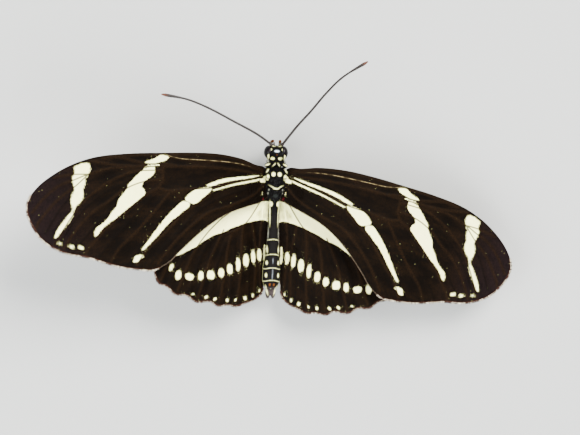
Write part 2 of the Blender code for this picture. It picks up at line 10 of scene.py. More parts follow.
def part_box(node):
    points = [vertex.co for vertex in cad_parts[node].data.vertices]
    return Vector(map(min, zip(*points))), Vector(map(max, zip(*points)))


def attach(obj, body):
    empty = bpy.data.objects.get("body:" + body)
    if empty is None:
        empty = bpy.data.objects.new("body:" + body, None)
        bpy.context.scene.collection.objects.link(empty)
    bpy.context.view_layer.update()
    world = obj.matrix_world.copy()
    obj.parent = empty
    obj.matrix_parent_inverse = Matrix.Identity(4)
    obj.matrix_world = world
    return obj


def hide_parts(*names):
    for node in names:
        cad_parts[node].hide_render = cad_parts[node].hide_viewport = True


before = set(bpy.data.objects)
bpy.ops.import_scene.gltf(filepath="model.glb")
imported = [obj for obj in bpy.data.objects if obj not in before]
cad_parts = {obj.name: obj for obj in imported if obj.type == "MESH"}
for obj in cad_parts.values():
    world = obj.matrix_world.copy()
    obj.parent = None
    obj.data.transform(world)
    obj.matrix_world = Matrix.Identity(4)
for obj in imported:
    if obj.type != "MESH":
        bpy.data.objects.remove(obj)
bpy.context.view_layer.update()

# Stand, camera and lamps
# The butterfly stands with its wings open on a plain grey floor, under broad soft lamps. The camera
# looks down on its back and leans a little towards its left side. Lengths are in millimetres from the
# point between the wing roots at floor level, with the head towards -Y.
MM = 0.001
ROOT_HEIGHT = 6.2
THORAX_BACK = 3.0
thorax_low, thorax_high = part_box("thorax")
stand = np.array(((thorax_low.x + thorax_high.x) / 2, thorax_high.y - THORAX_BACK * MM, 0.0))


def metres(places):
    """Places on the body, in millimetres, as metres in the model's own frame."""
    return np.asarray(places, float) * MM + stand


VIEW_DISTANCE = 400.0
VIEW_LEAN = radians(8)
VIEW_TURN = radians(2)
VIEW_WIDTH = 102.4
VIEW_AIM = (-2.82, 5.64, ROOT_HEIGHT + 0.40)
toward = Vector((sin(VIEW_LEAN), 0, cos(VIEW_LEAN)))
level = Vector((-cos(VIEW_LEAN), 0, sin(VIEW_LEAN)))
ahead = Vector((0, -1, 0))
rightward = level * cos(VIEW_TURN) + ahead * sin(VIEW_TURN)
upward = ahead * cos(VIEW_TURN) - level * sin(VIEW_TURN)
camera_data = bpy.data.cameras.new("camera")
camera_data.sensor_width = 36.0
camera_data.lens = camera_data.sensor_width * VIEW_DISTANCE / VIEW_WIDTH
camera = bpy.data.objects.new("camera", camera_data)
bpy.context.scene.collection.objects.link(camera)
camera_turn = Matrix((rightward, upward, toward)).transposed()
camera_place = Vector(metres(VIEW_AIM)) + toward * VIEW_DISTANCE * MM
camera.matrix_world = Matrix.Translation(camera_place) @ camera_turn.to_4x4()
bpy.context.scene.camera = camera

LAMPS = {
    "key_lamp": {"place": (-0.28, -0.42, 0.62), "size": 0.45, "power": 26.0, "colour": (1.0, 0.98, 0.95)},
    "fill_lamp": {"place": (0.45, 0.20, 0.50), "size": 0.60, "power": 14.0, "colour": (0.95, 0.98, 1.0)},
    "back_lamp": {"place": (-0.15, 0.55, 0.40), "size": 0.40, "power": 8.5, "colour": (1.0, 1.0, 1.0)},
}
for name, lamp in LAMPS.items():
    lamp_data = bpy.data.lights.new(name, "AREA")
    lamp_data.size = lamp["size"]
    lamp_data.energy = lamp["power"]
    lamp_data.color = lamp["colour"]
    lamp_object = bpy.data.objects.new(name, lamp_data)
    bpy.context.scene.collection.objects.link(lamp_object)
    lamp_object.location = lamp["place"]
    lamp_object.rotation_euler = (-Vector(lamp["place"])).to_track_quat("-Z", "Y").to_euler()

AIR_COLOUR = (0.80, 0.83, 0.86, 1)
FLOOR_GREY = (0.36, 0.365, 0.355, 1)
FLOOR_WIDTH = 4.0
air = bpy.data.worlds.new("studio_air")
air.use_nodes = True
air.node_tree.nodes["Background"].inputs["Color"].default_value = AIR_COLOUR
air.node_tree.nodes["Background"].inputs["Strength"].default_value = 1.0
bpy.context.scene.world = air

bpy.ops.mesh.primitive_plane_add(size=FLOOR_WIDTH, location=(0, 0, 0))
floor = bpy.context.object
floor.name = "studio_floor"
floor_paint = bpy.data.materials.new("pale_floor")
floor_paint.use_nodes = True
floor_shader = floor_paint.node_tree.nodes["Principled BSDF"]
floor_shader.inputs["Base Color"].default_value = FLOOR_GREY
floor_shader.inputs["Roughness"].default_value = 0.9
floor.data.materials.append(floor_paint)

# Wings
# Each wing is a thin scaled membrane held out by branching veins: two long forewings over two
# rounder hindwings. Each is drawn flat, with u out to the tip and v forward, and then arched along u,
# pitched, raised and swept back about its root, as a spread wing is set on a museum model.
WING_STEP = 0.24
MARGIN_STEP = 0.25
VEIN_STEP = 0.40
MARK_STEP = 0.3
WING_LENGTH = 44.0
ARCH_LENGTH = 46
MEMBRANE = 0.10
EDGE_WIDTH = 0.4
VEIN_RISE = 0.10
VEIN_HALF_WIDTH = 0.17
PLEAT_DEPTH = 0.10
PLEAT_WIDTH = 0.9
FOLD_WIDTH = 0.45
SPOT_POWER = 2.4

FOREWING_OUTLINE = [
    (-1.0, 1.0), (1.6, 2.2), (4.8, 3.6), (9.3, 4.8), (14.0, 5.5), (19.7, 6.05), (25.0, 6.5), (30.4, 6.6),
    (34.2, 6.05), (37.6, 4.95), (41.0, 3.15), (43.2, 1.2), (44.0, -0.4), (43.95, -2.4),
    (43.1, -4.7), (41.9, -6.6), (39.9, -8.25), (37.7, -9.35), (34.4, -10.35), (32.0, -11.4),
    (29.3, -12.5), (26.6, -13.2), (23.9, -13.75), (22.4, -13.5), (20.3, -12.5), (18.2, -10.85),
    (14.3, -8.2), (11.0, -6.5), (8.0, -5.5), (4.3, -4.9), (1.2, -4.5), (-1.0, -3.6),
]
FOREWING_VEINS = {
    "costa": [(0.0, 1.2), (4.8, 3.3), (9.3, 4.5), (14.0, 5.2), (19.7, 5.75), (25.0, 6.2), (30.4, 6.3)],
    "subcosta": [(0.0, 0.7), (3.0, 2.0), (7.0, 3.1), (12.8, 4.1), (16.5, 4.7), (19.3, 5.6)],
    "radius": [
        (0.0, 0.2), (6.0, 1.7), (12.0, 2.8), (17.0, 3.4), (24.7, 4.2), (29.0, 4.4), (33.0, 3.75), (35.7, 3.0),
    ],
    "radius_1": [(17.0, 3.4), (20.0, 4.2), (22.7, 4.5), (27.5, 6.1)],
    "radius_2": [(24.7, 4.2), (28.5, 4.9), (32.6, 6.0)],
    "radius_3": [(33.0, 3.75), (36.0, 4.0), (39.0, 3.8)],
    "radius_4": [(35.7, 3.0), (38.3, 2.3), (41.0, 0.5), (43.3, -1.7)],
    "radius_5": [(33.0, 3.75), (35.4, 2.0), (38.1, 0.4), (40.1, -1.2), (42.2, -3.3), (42.8, -4.3)],
    "media_1": [
        (20.1, 3.1), (24.7, 3.4), (28.3, 2.6), (31.3, 1.2), (34.1, -0.6), (37.0, -3.6), (40.0, -7.5),
    ],
    "media_2": [
        (20.2, 1.6), (23.6, 1.5), (26.9, 0.6), (30.2, -1.3), (33.2, -2.9), (36.4, -5.8), (38.5, -8.3),
    ],
    "media_3": [(21.1, 0.2), (23.7, -0.9), (27.0, -3.1), (30.7, -5.5), (32.3, -6.9), (35.0, -9.6)],
    "cell_end": [(19.6, 3.7), (20.1, 3.1), (20.2, 1.6), (21.1, 0.2)],
    "cubitus": [(0.0, -0.3), (6.4, -0.3), (11.3, -0.9), (16.2, -0.6), (19.5, -0.5), (21.1, 0.2)],
    "cubitus_1": [(18.3, -0.55), (19.6, -1.2), (21.4, -2.9), (25.5, -6.7), (28.9, -9.3), (30.6, -11.4)],
    "cubitus_2": [
        (11.3, -0.9), (11.9, -2.0), (14.9, -3.5), (17.2, -4.7), (20.7, -7.6), (24.3, -10.3), (26.3, -12.6),
    ],
    "anal": [
        (0.0, -1.6), (3.0, -3.2), (8.3, -4.4), (12.2, -5.0), (15.2, -6.5), (19.0, -9.2), (22.6, -12.7),
    ],
}
# A shallow fold runs between each two veins of the outer half, out to the margin.
FOREWING_FOLDS = [
    [(34.5, 2.0), (38.0, -1.2), (41.4, -5.4)],
    [(26.0, 2.0), (31.0, 0.0), (34.0, -1.9), (37.0, -4.8), (39.4, -7.9)],
    [(25.0, -0.5), (30.0, -3.1), (33.2, -5.6), (37.1, -9.25)],
    [(22.5, -1.4), (27.0, -5.2), (30.5, -8.4), (32.9, -10.8)],
    [(15.0, -2.2), (19.5, -4.8), (23.8, -8.6), (28.0, -12.6)],
    [(4.0, -2.0), (9.0, -2.7), (14.0, -4.4), (18.5, -7.8), (24.2, -12.9)],
]
FOREWING_MARKS = {
    "apical_band": [
        (35.4, 5.1), (34.2, 5.6), (32.8, 5.6), (32.6, 4.6), (33.0, 3.7), (33.7, 2.9), (33.6, 2.4),
        (34.1, 1.4), (34.2, 0.3), (34.7, -0.7), (35.6, -1.4), (36.3, -2.4), (36.4, -3.1), (37.2, -4.1),
        (38.4, -5.3), (39.8, -6.5), (39.8, -5.9), (38.8, -4.5), (37.4, -3.0), (36.4, -2.0), (36.5, -0.7),
        (36.4, 0.2), (35.7, 1.4), (35.8, 2.3), (35.8, 3.4), (35.3, 4.4),
    ],
    "costal_spot": [
        (23.1, 4.8), (21.2, 5.3), (20.1, 5.8), (18.9, 5.6), (18.8, 5.2), (19.3, 4.7), (21.1, 4.4),
        (22.6, 4.4),
    ],
    "costal_sliver": [(23.2, 4.15), (21.8, 4.2), (20.6, 4.2), (20.6, 3.95), (22.0, 3.9), (23.2, 3.9)],
    "median_band": [
        (21.6, 3.9), (21.4, 3.3), (21.8, 2.5), (23.3, 1.6), (23.8, 1.2), (24.0, 0.5), (23.6, 0.0),
        (23.7, -0.8), (26.2, -2.4), (28.7, -4.0), (31.2, -5.5), (32.6, -6.8), (33.0, -6.9), (33.0, -6.2),
        (32.4, -5.4), (30.9, -4.5), (29.4, -2.8), (28.7, -2.1), (28.2, -1.0), (26.8, 0.4), (26.3, 1.3),
        (24.9, 2.5), (23.2, 3.7),
    ],
    "root_patch": [(-1.2, -0.05), (-0.4, 0.0), (0.85, -0.80), (0.45, -1.10), (-1.2, -1.15)],
    "basal_streak": [
        (0.5, 0.15), (1.8, 0.28), (3.6, 0.33), (6.3, 0.45), (9.4, 0.35), (12.4, -0.3), (11.1, -0.6),
        (9.5, -0.3), (6.4, -0.10), (3.6, -0.10), (1.8, -0.02),
    ],
    "basal_line": [
        (0.7, -0.32), (1.9, -0.44), (3.6, -0.52), (6.5, -0.64), (9.6, -1.0), (11.4, -1.3), (11.2, -1.5),
        (9.4, -1.28), (6.5, -1.0), (3.6, -0.88), (1.9, -0.78), (1.0, -0.68),
    ],
    "cubital_patch": [
        (11.3, -0.9), (13.5, -0.7), (15.2, -1.1), (16.2, -1.8), (16.6, -2.4), (14.9, -3.3), (13.1, -2.3),
        (12.2, -1.8),
    ],
    "cubital_band": [
        (15.9, -3.0), (17.0, -2.6), (18.5, -3.5), (20.0, -4.7), (21.8, -6.4), (23.4, -8.1), (25.2, -10.1),
        (24.8, -10.2), (23.5, -9.1), (22.0, -7.9), (20.3, -6.4), (19.2, -5.6), (16.4, -3.9), (15.9, -3.5),
    ],
    "tail_mark": [(26.1, -10.9), (26.6, -11.2), (26.9, -11.9), (26.5, -12.2), (25.8, -11.9), (24.8, -11.0)],
}
FOREWING_SPOTS = {
    "root_spot": ((0.5, -3.0), (0.32, 0.13), -75),
    "submarginal_1": ((35.6, -8.5), (0.30, 0.44), -60),
    "submarginal_2": ((37.2, -8.2), (0.28, 0.42), -60),
    "submarginal_3": ((39.2, -7.4), (0.20, 0.32), -60),
}
HINDWING_OUTLINE = [
    (-1.0, 1.0), (3.0, 3.6), (7.5, 6.2), (12.5, 7.7), (17.5, 8.1), (21.5, 7.5), (24.2, 6.1),
    (25.5, 3.7), (24.95, 2.0), (24.9, 0.0), (23.65, -1.6), (23.3, -3.6), (21.6, -5.3), (21.15, -6.9),
    (19.8, -8.1), (18.9, -9.4), (17.3, -10.2), (15.9, -10.95), (14.3, -11.25), (13.1, -10.85),
    (12.1, -10.2), (10.9, -9.45), (7.35, -6.85), (3.55, -4.15), (1.15, -2.3), (-1.0, -1.6),
]
HINDWING_VEINS = {
    "subcosta": [(0.0, 0.3), (3.5, 2.6), (10.0, 6.0), (17.0, 7.0), (23.2, 5.9)],
    "radius": [(0.0, 0.0), (5.0, 1.9), (9.2, 2.9)],
    "radial_sector": [(5.0, 1.9), (9.5, 4.1), (15.5, 5.0), (21.5, 4.6), (25.0, 3.6)],
    "media_1": [(9.2, 2.9), (13.0, 3.1), (17.5, 2.6), (21.7, 1.1), (24.3, 0.2)],
    "cell_end": [(9.2, 2.9), (10.4, 1.3), (9.8, -0.1)],
    "media_2": [(10.4, 1.3), (13.3, 0.5), (16.3, -0.4), (18.9, -1.6), (22.7, -3.3)],
    "media_3": [(9.8, -0.1), (13.0, -1.8), (15.7, -3.7), (20.6, -6.6)],
    "cubitus": [(0.3, -0.3), (1.9, -0.5), (6.5, -0.9), (9.8, -0.1)],
    "cubitus_1": [(7.2, -0.9), (9.7, -2.6), (12.5, -4.9), (18.3, -9.0)],
    "cubitus_2": [(4.6, -0.7), (7.0, -3.4), (9.6, -6.1), (15.4, -10.5)],
    "anal": [(0.3, -0.6), (3.2, -2.4), (7.4, -5.2), (13.3, -10.4)],
}
HINDWING_FOLDS = [
    [(11.0, 4.0), (16.0, 3.8), (21.0, 2.9), (25.0, 1.9)],
    [(12.5, 2.0), (16.5, 1.2), (20.5, -0.4), (23.6, -1.7)],
    [(12.0, -0.4), (15.6, -1.9), (19.2, -3.9), (22.0, -5.1)],
    [(10.5, -1.7), (14.0, -4.2), (17.4, -6.6), (19.7, -8.2)],
    [(8.0, -2.6), (11.0, -5.4), (14.5, -8.6), (16.8, -10.4)],
]
HINDWING_MARKS = {
    "basal_band": [
        (-0.2, -2.2), (0.6, -1.0), (1.6, -0.1), (3.2, 1.0), (6.2, 2.5), (8.5, 3.4), (11.6, 4.2),
        (14.2, 4.6), (17.2, 4.8), (20.2, 5.0), (19.4, 4.1), (17.4, 3.4), (16.1, 2.9), (14.6, 2.6),
        (12.6, 2.0), (10.9, 1.1), (8.7, 0.2), (6.7, -0.8), (5.2, -1.7), (3.4, -3.1), (3.0, -4.2),
        (1.6, -3.6),
    ],
    "inner_strip": [(6.9, -5.95), (8.1, -6.75), (9.2, -7.70), (9.1, -8.15), (7.8, -7.05), (6.7, -6.15)],
}
# The row of spots lies in pairs, one pair between each two veins: centre, half sizes and turn.
HINDWING_SPOTS = {
    "row_0": ((9.05, -6.45), (1.14, 0.42), -40),
    "row_1": ((10.10, -5.80), (1.22, 0.38), -42),
    "row_2": ((11.60, -5.25), (1.20, 0.53), -40),
    "row_3": ((13.20, -4.70), (1.24, 0.41), -42),
    "row_4": ((14.90, -4.10), (0.93, 0.53), -43),
    "row_5": ((16.50, -3.40), (0.82, 0.52), -41),
    "row_6": ((18.10, -2.30), (0.80, 0.70), -38),
    "row_7": ((19.50, -1.10), (0.82, 0.48), -35),
    "row_8": ((21.00, 0.30), (0.60, 0.78), -35),
    "row_9": ((22.20, 1.90), (0.82, 0.54), -30),
    "row_10": ((22.05, 3.75), (0.68, 0.32), -20),
    "margin_0": ((13.95, -10.60), (0.36, 0.17), -40),
    "margin_1": ((15.50, -10.30), (0.38, 0.16), -40),
    "margin_2": ((16.80, -9.60), (0.40, 0.28), -38),
    "margin_3": ((18.25, -8.50), (0.30, 0.20), -30),
    "margin_4": ((19.30, -7.45), (0.38, 0.24), -25),
    "margin_5": ((20.65, -5.70), (0.36, 0.24), -10),
    "margin_6": ((21.60, -4.30), (0.36, 0.24), 20),
    "margin_7": ((22.80, -2.30), (0.26, 0.18), 60),
}
# Small crimson dots near the root, on the underside only: centre and radius.
ROOT_DOTS = {
    "forewing": [((1.6, 1.3), 0.26)],
    "hindwing": [((1.5, 1.7), 0.30), ((2.6, 1.1), 0.22), ((1.3, 0.2), 0.24), ((2.4, -0.9), 0.22)],
}
# The margins are ranges of the outline's points. A bare vein draws no dark line over a pale mark, and
# one vein may carry a broken pale line, a painted highlight where light glints on it. Angles are in degrees.
WINGS = {
    "forewing": {
        "outline": FOREWING_OUTLINE, "veins": FOREWING_VEINS, "folds": FOREWING_FOLDS,
        "marks": FOREWING_MARKS, "spots": FOREWING_SPOTS,
        "outer_margin": (11, 24), "hind_margin": (23, 32), "bare_veins": (), "glinting_vein": "subcosta",
        "root": (2.35, -1.49, 0.89), "rise": 23.5, "droop": 3.4, "reach": 25.0, "pitch": 2.5,
        "dihedral": {"left": 11.1, "right": -5.1}, "sweep": {"left": 8.4, "right": 19.4}, "tucked": False,
    },
    "hindwing": {
        "outline": HINDWING_OUTLINE, "veins": HINDWING_VEINS, "folds": HINDWING_FOLDS,
        "marks": HINDWING_MARKS, "spots": HINDWING_SPOTS,
        "outer_margin": (6, 20), "hind_margin": (19, 25), "bare_veins": ("anal", "cubitus_2", "cell_end"),
        "glinting_vein": None,
        "root": (2.07, 1.82, -0.7), "rise": 15.5, "droop": 2.5, "reach": 30.0, "pitch": 4.0,
        "dihedral": {"left": 9.5, "right": -5.7}, "sweep": {"left": 48.2, "right": 50.9}, "tucked": True,
    },
}
SIDES = {"left": 1, "right": -1}
WING_NAMES = [(pair_name, word) for pair_name in WINGS for word in SIDES]
# The hindwings' inner parts bend down to the abdomen's flanks: how far from the body's middle the bend
# starts, how wide it is, its height under the wing roots there, and how that falls towards the tail.
# They bend down along a line whose upper end leans a little to the left.
TUCK_START = 1.0
TUCK_WIDTH = 5.0
TUCK_LEVEL = 0.85
TUCK_FALL = 0.05
TUCK_LEAN = 0.14


def smooth_line(points, step, closed=False):
    """Points about one step apart on a smooth curve through the given points."""
    given = np.asarray(points, float)
    if closed:
        given = np.vstack([given[-1:], given, given[:2]])
    else:
        given = np.vstack([given[:1] * 2 - given[1:2], given, given[-1:] * 2 - given[-2:-1]])
    line = []
    for before, start, end, after in zip(given, given[1:], given[2:], given[3:]):
        pieces = max(1, round(np.linalg.norm(end - start) / step))
        t = (np.arange(pieces) / pieces)[:, None]
        cubic = start * 3 - before - end * 3 + after
        square = before * 2 - start * 5 + end * 4 - after
        line.append((start * 2 + (end - before) * t + square * t**2 + cubic * t**3) / 2)
    if not closed:
        line.append(given[-2:-1])
    return np.vstack(line)


def vein_lines(lines):
    """A smooth curve through the points of each line on a wing."""
    return [smooth_line(line, VEIN_STEP) for line in lines]


def looped(line):
    """The line with its first point again at its end."""
    return np.vstack([line, line[:1]])


def unit(rows):
    """Each row brought to length one."""
    return rows / np.linalg.norm(rows, axis=1)[:, None]


def fade(values, start, width):
    """Goes from 0 at start to 1 at start + width, also where the width is below zero."""
    return np.clip((values - start) / width, 0, 1)


def hump(values, width):
    """1 where the values are zero, and smoothly down to 0 on both sides."""
    return np.exp(-((values / width) ** 2))


def distance_to(spots, lines):
    """Each spot's distance to the nearest of the lines, in millimetres."""
    nearest = np.full(len(spots), 1e9)
    for line in lines:
        for start, end in zip(line[:-1], line[1:]):
            run = end - start
            share = np.clip(((spots - start) @ run) / (run @ run), 0, 1)
            off = spots - start - share[:, None] * run
            nearest = np.minimum(nearest, np.hypot(off[:, 0], off[:, 1]))
    return nearest


def inside(spots, outline):
    """Which of the spots lie within a closed outline."""
    held = np.zeros(len(spots), bool)
    for (ax, ay), (bx, by) in zip(outline, np.roll(outline, -1, axis=0)):
        if ay == by:
            continue
        crossing = (ay > spots[:, 1]) != (by > spots[:, 1])
        held ^= crossing & (spots[:, 0] < (bx - ax) * (spots[:, 1] - ay) / (by - ay) + ax)
    return held


def mark_depth(spots, wing):
    """How deep each spot lies within the pale marks, in millimetres, and below zero outside them."""
    depth = np.full(len(spots), -9.0)
    for outline in wing["marks"].values():
        outline = smooth_line(outline, MARK_STEP, closed=True)
        away = distance_to(spots, [looped(outline)])
        depth = np.maximum(depth, np.where(inside(spots, outline), away, -away))
    for centre, half_sizes, turn in wing["spots"].values():
        off = spots - np.array(centre)
        along = off @ (cos(radians(turn)), sin(radians(turn)))
        aside = off @ (-sin(radians(turn)), cos(radians(turn)))
        reach = np.abs(along / half_sizes[0]) ** SPOT_POWER + np.abs(aside / half_sizes[1]) ** SPOT_POWER
        depth = np.maximum(depth, (1 - reach ** (1 / SPOT_POWER)) * min(half_sizes))
    return depth


def beside(line, distance):
    """The line moved sideways in its own plane."""
    run = unit(np.gradient(line, axis=0))
    return line + np.stack([-run[:, 1], run[:, 0]], 1) * distance


def arch(u, rise, droop, reach):
    """Out and up along an arched span: its slope turns from rise at the root to droop past reach."""
    lengths = np.linspace(0, ARCH_LENGTH, ARCH_LENGTH * 10 + 1)
    share = np.clip((lengths[1:] + lengths[:-1]) / 2 / reach, 0, 1)
    ease = share * share * (3 - 2 * share)
    slope = radians(rise) * (1 - ease) - radians(droop) * ease
    outward = np.concatenate([[0], np.cumsum(np.cos(slope) * np.diff(lengths))])
    upright = np.concatenate([[0], np.cumsum(np.sin(slope) * np.diff(lengths))])
    before = np.minimum(u, 0)
    out = np.interp(u, lengths, outward) + before * cos(radians(rise))
    return out, np.interp(u, lengths, upright) + before * sin(radians(rise))


def wing_place(flat, wing, word):
    """Takes flat wing points (u, v) to their places on the butterfly, in millimetres."""
    out, rise = arch(flat[:, 0], wing["rise"], wing["droop"], wing["reach"])
    dihedral = wing["dihedral"][word]
    turn = (
        Matrix.Rotation(radians(wing["sweep"][word]), 3, "Z")
        @ Matrix.Rotation(radians(-dihedral), 3, "Y")
        @ Matrix.Rotation(radians(-wing["pitch"]), 3, "X")
    )
    placed = np.stack([out, -flat[:, 1], rise], 1) @ np.array(turn).T + np.array(wing["root"])
    across, back, height = placed.T
    if wing["tucked"]:
        distance = across - wing["root"][0]
        free = arch(distance, wing["rise"] + dihedral, wing["droop"] - dihedral, wing["reach"])[1]
        hugging = -TUCK_LEVEL - TUCK_FALL * (back - THORAX_BACK)
        share = fade(across, TUCK_START, TUCK_WIDTH)
        height = hugging + (free + wing["root"][2] - hugging) * share * share * (3 - 2 * share)
    sideways = SIDES[word] * across + TUCK_LEAN * (height - placed[:, 2])
    return np.column_stack([sideways, back, ROOT_HEIGHT + height])


def wing_surface(flat, wing, word):
    """The places of flat wing points, and the upward direction of the membrane there."""
    nudge = 0.02
    here = wing_place(flat, wing, word)
    outward = wing_place(flat + (nudge, 0), wing, word) - here
    forward = wing_place(flat + (0, nudge), wing, word) - here
    up = np.cross(forward, outward) * SIDES[word]
    return here, unit(up)


def add_piece(name, places, faces, material):
    """A smooth-shaded mesh piece from places in millimetres, riding on the butterfly."""
    mesh = bpy.data.meshes.new(name)
    mesh.from_pydata(metres(places).tolist(), [], faces)
    mesh.update()
    mesh.shade_smooth()
    mesh.materials.append(material)
    piece = bpy.data.objects.new(name, mesh)
    bpy.context.scene.collection.objects.link(piece)
    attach(piece, "root")
    return piece


def note(piece, name, values, kind="FLOAT"):
    """Keeps a number, a place or a colour for each vertex, which the piece's material reads."""
    field = {"FLOAT": "value", "FLOAT_VECTOR": "vector", "FLOAT_COLOR": "color"}[kind]
    made = piece.data.attributes.new(name, kind, "POINT")
    made.data.foreach_set(field, np.asarray(values, np.float32).ravel())


class Paint:
    """A short way to place and join the nodes of one material or node group."""

    def __init__(self, tree):
        self.tree = tree

    def feed(self, made, values):
        """Joins inputs of a node to other nodes' outputs, or sets them to constants."""
        for name, value in values.items():
            if isinstance(value, bpy.types.NodeSocket):
                self.tree.links.new(value, made.inputs[name])
            else:
                made.inputs[name].default_value = value

    def node(self, kind, values, **settings):
        made = self.tree.nodes.new("ShaderNode" + kind)
        for name, setting in settings.items():
            setattr(made, name, setting)
        self.feed(made, values)
        return made

    def noted(self, name, output="Fac"):
        """What each vertex keeps under a name: a number, or its Vector or Color."""
        return self.node("Attribute", {}, attribute_name=name).outputs[output]

    def math(self, operation, *values):
        return self.node("Math", dict(enumerate(values)), operation=operation).outputs[0]

    def ramp(self, value, start, end, low=0.0, high=1.0):
        values = dict(enumerate((value, start, end, low, high)))
        return self.node("MapRange", values, interpolation_type="SMOOTHSTEP").outputs[0]

    def mix(self, share, first, second, blend="MIX"):
        colours = [(*colour, 1.0) if isinstance(colour, tuple) else colour for colour in (first, second)]
        values = {0: share, 6: colours[0], 7: colours[1]}
        return self.node("Mix", values, data_type="RGBA", blend_type=blend).outputs[2]

    def noise(self, place, scale, detail=3.0, roughness=0.55):
        values = {"Vector": place, "Scale": scale, "Detail": detail, "Roughness": roughness}
        return self.node("TexNoise", values).outputs["Fac"]

    def stretch(self, place, scale):
        return self.node("Mapping", {"Vector": place, "Scale": scale}).outputs[0]

    def speckled(self, colour, tint, low, high):
        """The colour, darker or lighter from scale to scale."""
        light = self.ramp(tint, 0.0, 1.0, low, high)
        grey = self.node("CombineColor", {0: light, 1: light, 2: light}).outputs[0]
        return self.mix(1.0, colour, grey, "MULTIPLY")

    def bump(self, height, strength, depth, invert=False):
        """A surface raised by a height times a depth in millimetres."""
        values = {"Strength": strength, "Distance": depth * MM, "Height": height}
        return self.node("Bump", values, invert=invert).outputs[0]


def new_material(name):
    """A material with its paint and its shader."""
    made = bpy.data.materials.new(name)
    made.use_nodes = True
    return made, Paint(made.node_tree), made.node_tree.nodes["Principled BSDF"]


def new_group(name, takes, gives):
    """A node group with its paint, what it takes (None for a place, else a usual number) and its end."""
    group = bpy.data.node_groups.new(name, "ShaderNodeTree")
    for socket, value in takes.items():
        kind = "NodeSocketVector" if value is None else "NodeSocketFloat"
        made = group.interface.new_socket(socket, in_out="INPUT", socket_type=kind)
        if value is not None:
            made.default_value = value
    for socket in gives:
        group.interface.new_socket(socket, in_out="OUTPUT", socket_type="NodeSocketFloat")
    return group, Paint(group), group.nodes.new("NodeGroupInput").outputs, group.nodes.new("NodeGroupOutput")


# Rows of tiny overlapping scales, each with its own tint and tilt.
scale_rows, paint, takes, gives = new_group(
    "scale_rows", {"Place": None, "Long": 9.0, "Wide": 15.0}, ("Tint", "Fleck", "Height")
)
split = paint.node("SeparateXYZ", {0: takes["Place"]}).outputs
long_way, wide_way, deep_way = (
    paint.math("MULTIPLY", split[index], takes[size]) for index, size in enumerate(("Long", "Wide", "Wide"))
)
rows = paint.node("CombineXYZ", {0: long_way, 1: wide_way, 2: deep_way}).outputs[0]
cells = paint.node("TexVoronoi", {"Vector": rows, "Scale": 1.0, "Randomness": 0.55}).outputs
chances = paint.node("SeparateColor", {0: cells["Color"]}).outputs
relief = paint.math("SUBTRACT", paint.math("MULTIPLY", chances[1], 0.5), cells["Distance"])
paint.feed(gives, {"Tint": chances[0], "Fleck": chances[2], "Height": relief})

# The ragged edge of a pale mark, where scales of both colours mix, with stray pale scales beyond it.
ragged_edge, paint, takes, gives = new_group(
    "ragged_edge",
    {"Depth": 0.0, "Place": None, "Tint": 0.5, "Fleck": 0.5, "Ragged": 0.6, "Soft": 0.03},
    ("Mask",),
)
coarse = paint.noise(paint.stretch(takes["Place"], (1.0, 0.6, 1.0)), 2.6, 5.0, 0.72)
moved = paint.math("MULTIPLY_ADD", paint.math("SUBTRACT", coarse, 0.5), takes["Ragged"], takes["Depth"])
single = paint.math("SUBTRACT", takes["Tint"], 0.5)
moved = paint.math("MULTIPLY_ADD", single, 0.14, paint.math("SUBTRACT", moved, 0.04))
under = paint.math("MULTIPLY", takes["Soft"], -1.0)
solid_mark = paint.ramp(moved, under, takes["Soft"])
likely = paint.ramp(moved, -0.40, 0.0, 0.9995, 0.95)
stray = paint.math("MULTIPLY", paint.math("GREATER_THAN", takes["Fleck"], likely), 0.35)
paint.feed(gives, {"Mask": paint.math("MAXIMUM", solid_mark, stray)})

CREAM = (0.98, 0.97, 0.42)
CREAM_SHADE = (0.86, 0.83, 0.32)
WING_BLACK = (0.0014, 0.0008, 0.0004)
WING_BROWN = (0.0068, 0.0034, 0.0013)
# Plum painted over the dark ground towards the forewing's tip, a painted sheen of light on its scales.
APEX_SHEEN_PLUM = (0.0050, 0.0028, 0.0030)
UNDERSIDE_BROWN = (0.0300, 0.0165, 0.0090)
FRINGE_RED = (0.036, 0.015, 0.010)
FRINGE_PALE = (0.62, 0.56, 0.42)
DOT_CRIMSON = (0.30, 0.012, 0.012)
# Pale brown of the painted highlight along a vein, where light glints on it.
VEIN_GLINT_BROWN = (0.30, 0.23, 0.11)

wing_scales, paint, shader = new_material("wing_scales")
flat_place = paint.noted("flat", "Vector")
flat_out = paint.node("SeparateXYZ", {0: flat_place}).outputs[0]
lower_side = paint.noted("underside")
scales = paint.node("Group", {"Place": flat_place}, node_tree=scale_rows).outputs
tint = scales["Tint"]
cloud = paint.ramp(paint.noise(paint.stretch(flat_place, (0.16, 0.45, 1.0)), 1.0, 3.0, 0.6), 0.35, 0.70)
ground = paint.mix(paint.math("MULTIPLY", cloud, 0.45), WING_BLACK, WING_BROWN)
